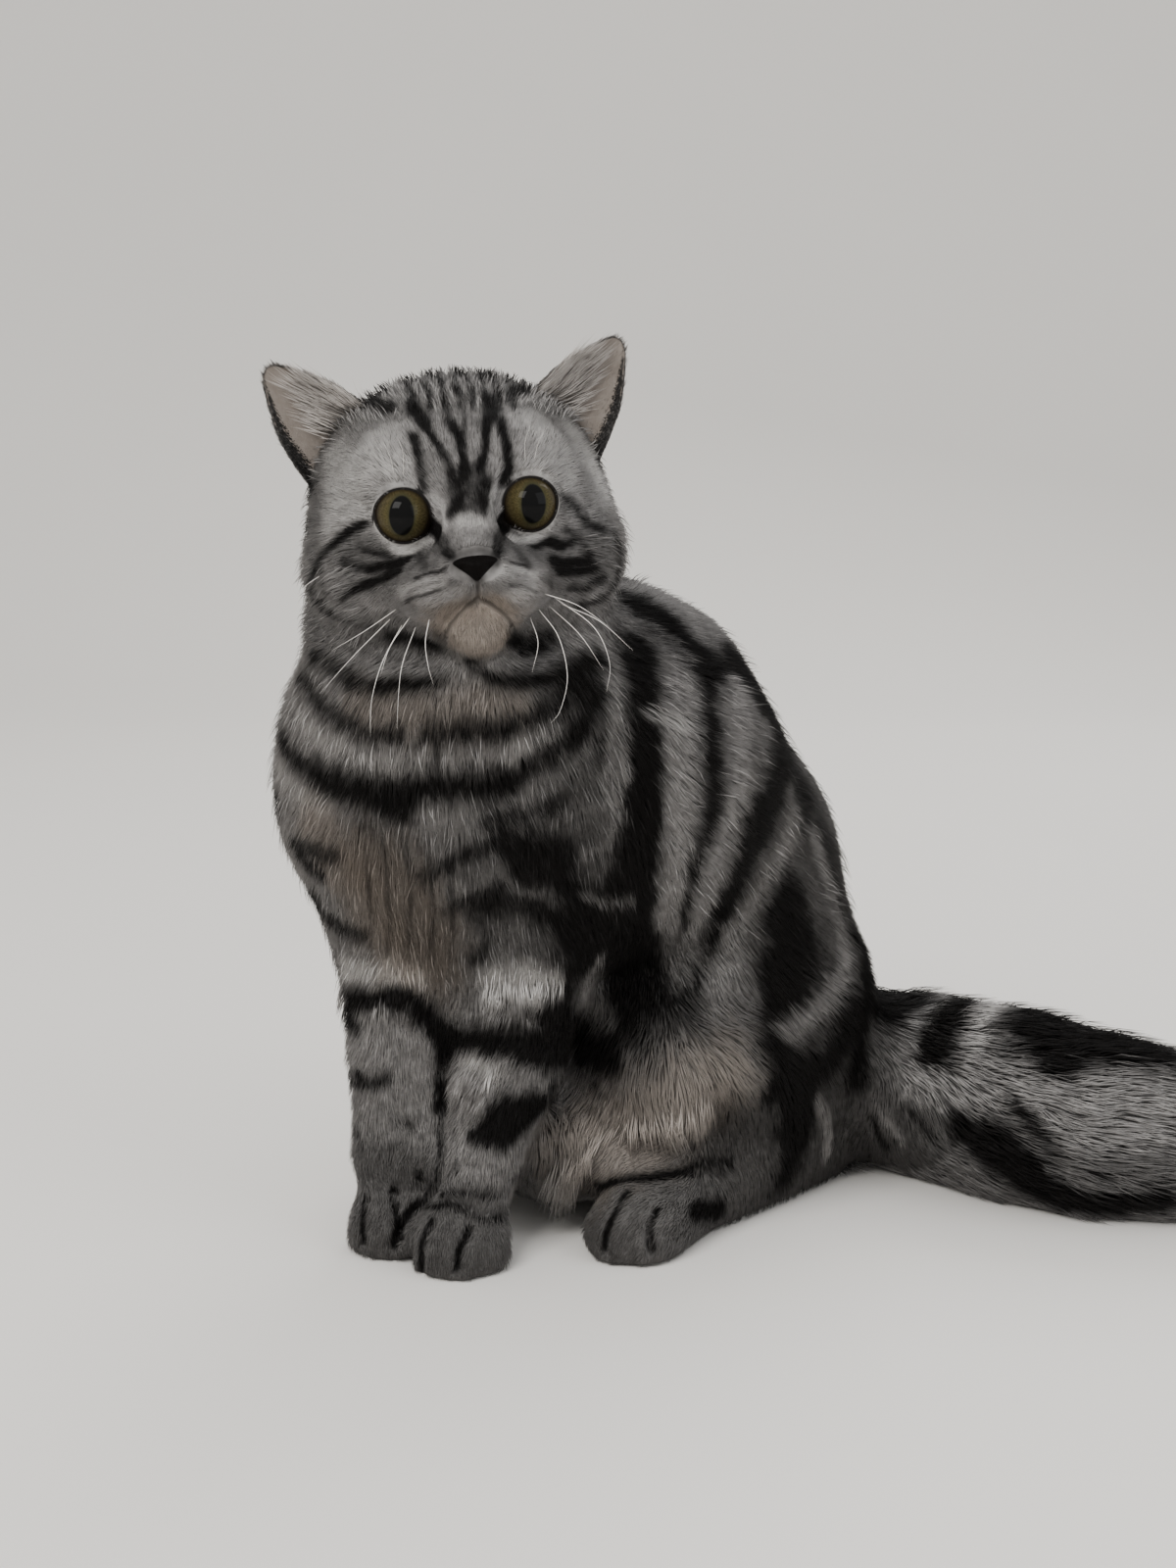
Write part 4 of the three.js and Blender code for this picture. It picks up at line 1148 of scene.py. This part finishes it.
# %% Leg and tail markings
for kind, width, corners in (
    ("pale", 6.0, ((350, 995), (385, 1003), (420, 1005))),
    ("dark", 5.4, ((346, 1024), (380, 1026), (412, 1028), (436, 1042), (452, 1062))),
    ("silver", 8.0, ((385, 1060), (410, 1080), (412, 1130))),
    ("dark", 2.8, ((360, 1100), (376, 1112), (396, 1104))),
    ("dark", 1.8, ((403, 1148), (418, 1154))),
    ("dark", 1.6, ((360, 1172), (385, 1178), (408, 1174))),
    ("grey", 9.0, ((362, 1190), (400, 1200), (430, 1200))),
    ("pale", 7.0, ((500, 1012), (530, 1005), (556, 1012))),
    ("dark", 5.4, ((452, 1060), (488, 1066), (530, 1068), (562, 1072))),
    ("dark", 9.0, ((572, 1040), (590, 1062), (614, 1080))),
    ("dark", 6.4, ((536, 1078), (580, 1086), (622, 1092))),
    ("dark", 2.0, ((540, 1040), (565, 1044))),
    ("pale", 3.8, ((470, 1088), (492, 1096), (500, 1108))),
    ("silver", 3.2, ((468, 1110), (466, 1145), (464, 1180))),
    ("dark", 6.0, ((506, 1146), (526, 1134), (552, 1132))),
    ("dark", 5.5, ((496, 1160), (522, 1156), (544, 1146))),
    ("dark", 3.0, ((478, 1160), (496, 1168), (514, 1174))),
    ("dark", 2.6, ((566, 1112), (598, 1117))),
    ("dark", 1.6, ((563, 1145), (576, 1143))),
    ("dark", 1.4, ((462, 1194), (464, 1197))),
    ("dark", 1.1, ((446, 1218), (480, 1222), (512, 1223))),
    ("dark", 1.6, ((430, 1231), (455, 1230), (480, 1238), (500, 1245), (522, 1243))),
):
    stroke(kind, width, *corners)
for centre, reach, width in (((-13, 30, 86), 26, 4), ((-12, 30, 62), 20, 2.4), ((-12, 30, 42), 18, 1.8)):
    bracelet("dark", width, centre, reach, 5, 200)
for centre, reach, width in (((40, 26, 74), 26, 5), ((32, 20, 55), 22, 4), ((18, 14, 30), 18, 2)):
    bracelet("dark", width, centre, reach, -20, 170)
# Painted shade in the creases between the toes and in the gap between the forelegs.
for seam in TOE_SEAMS:
    stroke("dark", 1.3, *seam, strength=0.9)
stroke("dark", 1.7, *LEG_LINE, strength=0.9)
for kind, width, corners in (
    ("dark", 9.0, ((892, 1010), (888, 1060), (880, 1100))),
    ("dark", 8.0, ((925, 1018), (908, 1050), (898, 1095))),
    ("grey", 8.0, ((905, 1060), (905, 1100), (890, 1150))),
    ("silver", 4.0, ((966, 1020), (942, 1034), (928, 1055), (922, 1086))),
    ("pale", 2.6, ((966, 1020), (942, 1034), (928, 1055))),
    ("dark", 8.5, ((990, 1018), (966, 1044), (956, 1074))),
    ("silver", 6.0, ((1036, 1008), (1010, 1036), (1000, 1070), (1008, 1100))),
    ("pale", 3.6, ((1030, 1012), (1010, 1036), (1000, 1066))),
    ("silver", 8.0, ((930, 1110), (975, 1114), (1015, 1122))),
    ("dark", 2.2, ((928, 1138), (942, 1155), (955, 1168))),
    ("dark", 2.0, ((888, 1148), (904, 1176))),
    ("silver", 2.5, ((900, 1140), (918, 1170))),
    ("dark", 16.0, ((1070, 1046), (1100, 1058), (1135, 1060), (1175, 1066))),
    ("dark", 5.5, ((1072, 1076), (1092, 1092), (1104, 1100))),
    ("silver", 6.0, ((1035, 1100), (1065, 1115), (1090, 1140))),
    ("dark", 3.0, ((1038, 1124), (1060, 1150), (1084, 1178))),
    ("silver", 14.0, ((1120, 1130), (1150, 1130), (1185, 1130))),
    ("silver", 8.0, ((1120, 1160), (1150, 1166), (1180, 1160))),
    ("dark", 13.0, ((1020, 1176), (1042, 1195), (1066, 1212))),
    ("dark", 6.0, ((980, 1156), (1000, 1165))),
    # Painted shadow: darker towards the tail's underside, where it lies on the floor.
    ("dark", 8.0, ((1090, 1228), (1140, 1232), (1195, 1230))),
    ("grey", 9.0, ((1100, 1196), (1145, 1200), (1190, 1196))),
):
    stroke(kind, width, *corners, both_sides=TAIL)
wrap("dark", 18, GROUND, (385, 76, 40), (400, 90, 30))

# %% Ask the strokes
EDGE_SOFTNESS = 0.55


def ask_marks(points, ground):
    """How dark, pale and warm the coat is at points near its surface, in metres."""
    spots = points / MM
    wobble = np.array([noise.noise_vector(spot) for spot in (spots * 0.16).tolist()])
    wobble += 0.6 * np.array([noise.noise_vector(spot) for spot in (spots * 0.5).tolist()])
    told = {"dark": ground.copy(), "pale": np.zeros(len(spots)), "warm": np.zeros(len(spots))}
    for kind, width, line, strength in MARKS:
        channel, level = BRUSHES[kind]
        reach = width * 1.9
        lowest, highest = line.min(axis=0) - reach, line.max(axis=0) + reach
        near = np.nonzero(np.all((spots > lowest) & (spots < highest), axis=1))[0]
        shifted = spots[near] + wobble[near] * (0.35 * width + 0.3)
        gap = off_line(shifted, line)
        cover = strength * (1 - ramp(width * (1 - EDGE_SOFTNESS), width * (1 + EDGE_SOFTNESS), gap))
        told[channel][near] += (level - told[channel][near]) * cover
        if kind == "dark":
            told["pale"][near] *= 1 - cover
        if kind == "pale":
            told["dark"][near] *= 1 - 0.8 * cover
    return told


def store(piece, told):
    for name, level in told.items():
        layer = piece.data.attributes.new(name, "FLOAT", "POINT")
        layer.data.foreach_set("value", np.ascontiguousarray(level, np.float32))


told = ask_marks(outer, ground)
in_head = moved(HEAD.inverted(), inner)
# The lids' dark rim is their own colour. Along the groove from the nose to the mouth, and along the mouth's line, the
# darkening is partly the lips' own dark edge and partly painted shade in the groove.
told["ink_and_groove_shade"] = np.maximum(1 - ramp(0.1, 0.8, beside_lids(in_head)), 0.6 * (1 - ramp(0.2, 1.1, mouth_gap(in_head))))
told["ink_and_groove_shade"] *= ~is_ear
print(len(MARKS), "strokes laid")

# %% [markdown]
# ## The coat
# Each tuft is a slim spike with three sides, closed at its root, which sits just inside the
# skin. It leaves the skin at a slant, in the direction that the coat lies, and its tip reaches
# the height of the coat. Long hair also bends back down towards the body. Hair clings together,
# so tufts lean towards the middle of their clump. All of them are worked out at once.
# %% Fur colours
def fur_material(name):
    fur = Nodes(name)
    dark, pale, warm = (fur.attribute(kind) for kind in ("dark", "pale", "warm"))
    ink_and_groove_shade, tone, along = (fur.attribute(kind) for kind in ("ink_and_groove_shade", "tone", "along"))
    place = fur.add("TexCoord").outputs["Object"]
    patch = fur.noise(place, 260.0, 3.0)
    silver = fur.mix(fur.ramp(patch, 0.3, 0.7), (0.2, 0.191, 0.187, 1), (0.33, 0.318, 0.31, 1))
    silver = fur.mix(warm, silver, (0.25, 0.203, 0.163, 1))
    bright = fur.mix(warm, (0.5, 0.485, 0.47, 1), (0.46, 0.395, 0.34, 1))
    light = fur.mix(pale, silver, bright)
    shade = fur.math("ADD", dark, fur.math("MULTIPLY", fur.math("SUBTRACT", tone, 0.5), 0.3))
    colour = fur.mix(fur.ramp(shade, 0.1, 0.9), light, (0.006, 0.0052, 0.005, 1))
    # Darkens the lids' rim, which is real colour, and the nose and mouth groove, which is partly painted shade.
    colour = fur.mix(ink_and_groove_shade, colour, (0.008, 0.006, 0.005, 1))
    # Painted shade: each tuft is darker towards its root, and the skin below is darker still, as if shaded deep in
    # the coat. Each tuft's random tone is mixed in as well.
    level = fur.math("ADD", fur.math("MULTIPLY", along, 0.65), fur.math("MULTIPLY", tone, 0.8))
    level = fur.math("ADD", level, 0.15)
    level = fur.add("CombineXYZ", {0: level, 1: level, 2: level}).outputs[0]
    fur.feed(fur.shader, "Base Color", fur.mix(1.0, colour, level, "MULTIPLY"))
    fur.feed(fur.shader, "Roughness", 0.6)
    fur.feed(fur.shader, "Specular IOR Level", 0.12)
    bump = fur.add("Bump", {"Height": fur.noise(place, 900.0, 3.0), "Strength": 0.3, "Distance": 0.0005})
    fur.feed(fur.shader, "Normal", bump.outputs[0])
    return fur.material


coat_material = fur_material("tabby_fur")

# %% Ears' inner side
ear_axes = {s: np.array((HEAD.to_3x3() @ Vector((s * 27.8, -4, 33.5))).normalized()) for s in (1, -1)}
ear_fronts = {s: np.array((HEAD.to_3x3() @ Vector((s * 0.4, -0.88, -0.1))).normalized()) for s in (1, -1)}
in_head = moved(HEAD.inverted(), inner)
side_of = np.where(in_head[:, 0] > 0, 1, -1)
cupped = np.zeros(len(inner), bool)
for sign in (1, -1):
    mine = is_ear & (side_of == sign)
    cupped |= mine & (normals @ ear_fronts[sign] > -0.3)
    lie[mine] = ear_axes[sign]
told["pale"][cupped] = 0.0
told["warm"][cupped] = 0.6
told["dark"][cupped] = 0.25
told["dark"][is_ear & ~cupped] = 0.65
ground[is_ear & ~cupped] = 0.65
print("inside the ears:", int(cupped.sum()), "of", int(is_ear.sum()), "points")
store(skin, told)
# The skin takes the painted shade of the coat's roots. Inside the ears' cups, where no coat covers it, it takes less.
store(skin, {"tone": np.full(len(inner), 0.5), "along": np.where(cupped, 0.7, 0.1)})
skin.data.materials.append(coat_material)
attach(skin, "root")
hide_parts(*[node for node in frame["nodes"] if not node.startswith(("eye", "nose"))])

# %% Where tufts may stand
corners = inner[triangles]
areas = np.linalg.norm(np.cross(corners[:, 1] - corners[:, 0], corners[:, 2] - corners[:, 0]), axis=1) / 2
bare = (beside_lids(in_head) < 0.7) | (mouth_gap(in_head) < 0.7)
bare |= np.linalg.norm((in_head - NOSE_CENTRE) / np.array((8.8, 6, 5.6)), axis=1) < 1
bare &= ~is_ear
height = moved(GROUND.inverted(), inner)[:, 2]
bare |= height < 0.8
crowding = areas / length[triangles[:, 0]] ** 1.2
crowding[bare[triangles].any(axis=1)] = 0
triangle_region = region[triangles[:, 0]]
triangle_is_ear = is_ear[triangles[:, 0]]
triangle_is_cupped = cupped[triangles[:, 0]]
PATCH = 0.003  # the size of a tuft's place on the map
STRAIGHT = ((0.0, 0.0, 1.0),)  # each ring of a tuft: how far along, how much higher, how wide
BENT = ((0.0, 0.0, 0.75), (0.5, 0.28, 1.0))


# %% Grow tufts
def spikes(name, rings, tip):
    """A mesh of closed spikes. Each ring is an array of three corners for every spike."""
    count = len(tip)
    size = 3 * len(rings) + 1
    points = np.concatenate([*rings, tip[:, None]], axis=1)
    points[:, :, 2] = np.maximum(points[:, :, 2], 0.0002)
    faces = [(0, 1, 2)]
    for k in range(0, size - 4, 3):
        for a, b in ((0, 1), (1, 2), (2, 0)):
            faces += [(k + b, k + a, k + 3 + a), (k + b, k + 3 + a, k + 3 + b)]
    faces += [(size - 4 + b, size - 4 + a, size - 1) for a, b in ((0, 1), (1, 2), (2, 0))]
    faces = (np.array(faces)[None] + np.arange(count)[:, None, None] * size).reshape(-1, 3)
    mesh = bpy.data.meshes.new(name)
    mesh.vertices.add(count * size)
    mesh.vertices.foreach_set("co", points.ravel())
    mesh.loops.add(len(faces) * 3)
    mesh.loops.foreach_set("vertex_index", faces.ravel().astype(np.int32))
    mesh.polygons.add(len(faces))
    mesh.polygons.foreach_set("loop_start", np.arange(len(faces), dtype=np.int32) * 3)
    mesh.polygons.foreach_set("use_smooth", np.ones(len(faces), bool))
    mesh.update(calc_edges=True)
    piece = bpy.data.objects.new(name, mesh)
    bpy.context.scene.collection.objects.link(piece)
    return piece, faces, size


def grow(name, chosen, count, width, seed, shape=STRAIGHT, reach=1.0, stand=1.0, cling=0.35, tint=None):
    """Grows one piece of coat on the chosen triangles. Width is a tuft's widest, in mm."""
    rng = np.random.default_rng(seed)
    heap = np.cumsum(np.where(chosen, crowding, 0))
    pick = np.searchsorted(heap, (np.arange(count) + rng.random(count)) / count * heap[-1])
    pick = np.minimum(pick, len(heap) - 1)
    a, b = np.sqrt(rng.random(count)), rng.random(count)
    mixing = np.stack([1 - a, a * (1 - b), a * b], axis=1)[:, :, None]

    def at_root(values):
        return (values[triangles[pick]] * mixing).sum(axis=1)

    root, up, way = at_root(inner), at_root(normals), at_root(lie)
    deep, long, base = at_root(depth[:, None]), at_root(length[:, None]), at_root(ground[:, None])
    up /= np.linalg.norm(up, axis=1)[:, None]
    gust = np.array([noise.noise_vector(spot) for spot in (root / MM * 0.07).tolist()])
    gust += 0.7 * np.array([noise.noise_vector(spot) for spot in (root / MM * 0.21).tolist()])
    way = way + 0.4 * gust + rng.normal(0, 0.12, (count, 3))
    way -= np.sum(way * up, axis=1)[:, None] * up
    way /= np.linalg.norm(way, axis=1)[:, None]
    long = long * MM * reach * rng.uniform(0.7, 1.25, (count, 1))
    rise = np.minimum(deep * MM * stand * rng.uniform(0.6, 1.05, (count, 1)), 0.8 * long)
    tip = root + way * np.sqrt(np.maximum(long**2 - rise**2, 0)) + up * rise
    clumps = kdtree.KDTree(count // 12 + 1)
    for k in range(0, count, 12):
        clumps.insert(root[k], k)
    clumps.balance()
    leader = np.array([clumps.find(spot)[1] for spot in root.tolist()])
    lean = tip[leader] - tip + 0.3 * (root - root[leader])
    tones = np.clip(rng.normal(0.5, 0.26, count), 0, 1)
    tones = 0.45 * tones + 0.55 * tones[leader]
    tip += cling * rng.uniform(0.4, 1.0, (count, 1)) * lean
    across = np.cross(way, up)
    wide = width * MM * rng.uniform(0.7, 1.3, (count, 1))
    sunk = root - up * 0.0003
    rings = []
    for share, lifted, breadth in shape:
        middle = sunk + share * (tip - sunk) + up * rise * lifted
        thick = wide * breadth / 2
        rings.append(np.stack([middle - across * thick, middle + across * thick, middle + up * thick * 0.8], axis=1))
    piece, faces, size = spikes(name, rings, tip)
    seat = (uv_corners[pick] * mixing).sum(axis=1)
    steps = np.array([(-1, -1), (1, -1), (0, -0.6), (-1, 0.2), (1, 0.2), (0, 0.4)][: size - 1] + [(0, 1)])
    uv = np.clip(seat[:, None, :] + steps[None] * PATCH / 2, 0.001, 0.999).reshape(-1, 2)
    layer = piece.data.uv_layers.new(name=UV_NAME)
    layer.data.foreach_set("uv", uv[faces.ravel()].astype(np.float32).ravel())
    seen_at = [0.35] * 3 + [0.7] * (size - 4) + [1.0]
    asked = {share: ask_marks(root + (tip - root) * share, base[:, 0]) for share in set(seen_at)}
    told = {kind: np.stack([asked[share][kind] for share in seen_at], axis=1).ravel() for kind in asked[1.0]}
    if tint:
        told = {kind: np.full(count * size, level) for kind, level in tint.items()}
    told["ink_and_groove_shade"] = np.zeros(count * size)
    told["tone"] = np.repeat(tones, size)
    # How far along its tuft each corner lies. The material uses this to paint shade, darkest at the root.
    told["along"] = np.tile([0.15] * 3 + [0.6] * (size - 4) + [1.0], count)
    store(piece, told)
    piece.data.materials.append(coat_material)
    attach(piece, "root")
    print(name, "has", count, "tufts and", len(faces), "triangles")
    return piece


def in_regions(*names):
    return np.isin(triangle_region, [REGIONS.index(n) for n in names]) & ~triangle_is_ear


# %% The pieces of the coat
grow("coat_face", in_regions("face"), 40000, 0.42, 11)
grow("coat_crown", in_regions("crown"), 34000, 0.55, 12)
grow("coat_neck", in_regions("neck"), 30000, 0.7, 13, cling=0.5)
grow("coat_breast", in_regions("breast"), 36000, 0.75, 14, cling=0.55)
grow("coat_flank_left", in_regions("flank_left"), 36000, 0.8, 15, cling=0.6)
grow("coat_flank_right", in_regions("flank_right"), 28000, 0.9, 16, cling=0.6)
grow("coat_haunch_left", in_regions("haunch_left"), 27000, 0.85, 17, cling=0.6)
grow("coat_haunch_right", in_regions("haunch_right"), 20000, 0.95, 18, cling=0.6)
grow("coat_legs", in_regions("legs", "feet"), 33000, 0.55, 19)
grow("coat_tail", in_regions("tail"), 16000, 0.65, 20, shape=BENT, reach=1.3, stand=0.9, cling=0.7)
cup = {"dark": 0.24, "pale": 0.0, "warm": 0.5}
grow("coat_ear_backs", triangle_is_ear & ~triangle_is_cupped, 8000, 0.32, 21, reach=0.9)
grow("coat_ear_cups", triangle_is_ear & triangle_is_cupped, 2500, 0.2, 22, reach=0.8, tint=cup)

# %% Long hair
mark_pale = told["pale"][triangles[:, 0]]
fringe = in_regions("haunch_left", "haunch_right", "legs") & (mark_pale > 0.4)
grow("coat_belly_fringe", fringe, 3000, 0.5, 31, shape=BENT, reach=1.9, stand=1.5, cling=0.6)
grow("coat_neck_wisps", in_regions("neck", "breast"), 2500, 0.35, 32, shape=BENT, reach=1.4, stand=1.4, cling=0.5)
top = in_regions("crown") & (height[triangles[:, 0]] > 315)
grow("coat_crown_wisps", top, 1200, 0.35, 37, shape=BENT, reach=1.1, stand=2.2, cling=0.6)
grow("coat_back_wisps", in_regions("flank_left", "flank_right", "crown"), 2500, 0.4, 33, shape=BENT, reach=1.5, stand=1.6, cling=0.7)
grow("coat_tail_wisps", in_regions("tail"), 3000, 0.5, 34, shape=BENT, reach=1.5, stand=1.4, cling=0.6)
ear_share = np.zeros(len(inner))
outward = np.zeros((len(inner), 3))
for sign in (1, -1):
    mine = is_ear & (side_of == sign)
    base = np.array(HEAD @ Vector((sign * 38.7, 8, 24)))
    ear_share[mine] = (inner[mine] - base) @ ear_axes[sign] / (MM * 43.7)
    outward[mine] = np.array((HEAD.to_3x3() @ Vector((sign * 0.75, -0.25, 0.45))).normalized())
in_cup = cupped & (ear_share > -0.15) & (ear_share < 0.62)
kept_lie, kept_depth, kept_length = lie.copy(), depth.copy(), length.copy()
lie[in_cup], depth[in_cup], length[in_cup] = outward[in_cup], 3.5, 15
inner_edge = in_cup & (np.abs(in_head[:, 0]) < 41 + 22 * ear_share)
tint = {"dark": 0.05, "pale": 0.7, "warm": 0.35}
grow("ear_hair", inner_edge[triangles].all(axis=1), 900, 0.3, 35, shape=BENT, cling=0.3, tint=tint)
lie, depth, length = kept_lie, kept_depth, kept_length

# %% [markdown]
# ## Whiskers
# Whiskers are stiff, white and tapered, and droop in an arc. Each is drawn through points of
# the picture, in front of its root on the whisker pad, and made as a thin tube.
# %% Whisker paths
WHISKERS = [
    ((398, 632), (362, 668), (326, 708)),
    ((410, 638), (390, 676), (379, 716), (378, 752)),
    ((424, 640), (411, 676), (407, 704), (405, 744)),
    ((438, 632), (434, 656), (437, 680), (442, 698)),
    ((404, 622), (372, 644), (338, 664)),
    ((418, 630), (398, 660), (388, 690)),
    ((541, 630), (549, 656), (543, 686)),
    ((550, 622), (570, 650), (579, 690), (572, 724), (562, 738)),
    ((560, 618), (592, 648), (616, 684)),
    ((566, 610), (606, 640), (622, 676), (619, 706)),
    ((572, 616), (612, 634), (646, 664)),
    ((556, 606), (590, 618), (622, 640)),
    ((326, 588), (314, 596), (303, 606)),
    ((402, 484), (398, 466), (390, 450)),
    ((412, 486), (411, 462), (405, 444)),
    ((545, 470), (550, 450), (560, 434)),
    ((536, 472), (536, 450), (542, 432)),
]
ahead = (camera.matrix_world.to_3x3() @ Vector((0, 0, -1))).normalized()


def whisker_path(corners):
    """From its root on the coat, coming towards the camera as it goes."""
    path = curved(corners, steps=6)
    root = thrown(*path[0])
    away = (root - camera.location) @ ahead
    spots = []
    for k, spot in enumerate(path):
        start, aim = sight(*spot)
        share = k / (len(path) - 1)
        lift = (9 * math.sin(share * math.pi / 2) - 1.5) * MM
        spots.append(start + aim * (away - lift) / (aim @ ahead))
    return np.array(spots)


def tube(spots, radius):
    """Rings of corners along a path, narrowing to its tip."""
    along = np.gradient(spots, axis=0)
    along /= np.linalg.norm(along, axis=1)[:, None]
    first = np.cross(along, np.array((0.3, 0.2, 0.93)))
    first /= np.linalg.norm(first, axis=1)[:, None]
    second = np.cross(along, first)
    rings = []
    for k in range(5):
        angle = 2 * math.pi * k / 5
        taper = radius * (1 - np.linspace(0, 1, len(spots)) ** 1.5 * 0.88)
        rings.append(spots + (first * math.cos(angle) + second * math.sin(angle)) * taper[:, None])
    return np.stack(rings, axis=1)


whisker_points, whisker_faces = [], []
for k, corners in enumerate(WHISKERS):
    radius = 0.00016 if k < 13 else 0.00009
    ring = tube(whisker_path(corners), radius)
    start = sum(len(points) for points in whisker_points)
    rows = len(ring)
    whisker_points.append(ring.reshape(-1, 3))
    for row in range(rows - 1):
        for n in range(5):
            a, b = start + row * 5 + n, start + row * 5 + (n + 1) % 5
            whisker_faces.append((a, b, b + 5, a + 5))
    whisker_faces.append(tuple(start + n for n in reversed(range(5))))
    whisker_faces.append(tuple(start + (rows - 1) * 5 + n for n in range(5)))
mesh = bpy.data.meshes.new("whiskers")
mesh.from_pydata(np.concatenate(whisker_points).tolist(), [], whisker_faces)
whiskers = bpy.data.objects.new("whiskers", mesh)
bpy.context.scene.collection.objects.link(whiskers)
bpy.ops.object.select_all(action="DESELECT")
whiskers.select_set(True)
bpy.context.view_layer.objects.active = whiskers
bpy.ops.object.shade_smooth()
white = Nodes("white_whisker")
white.feed(white.shader, "Base Color", (0.75, 0.72, 0.68, 1))
white.feed(white.shader, "Roughness", 0.35)
mesh.materials.append(white.material)
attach(whiskers, "root")
print(len(WHISKERS), "whiskers")
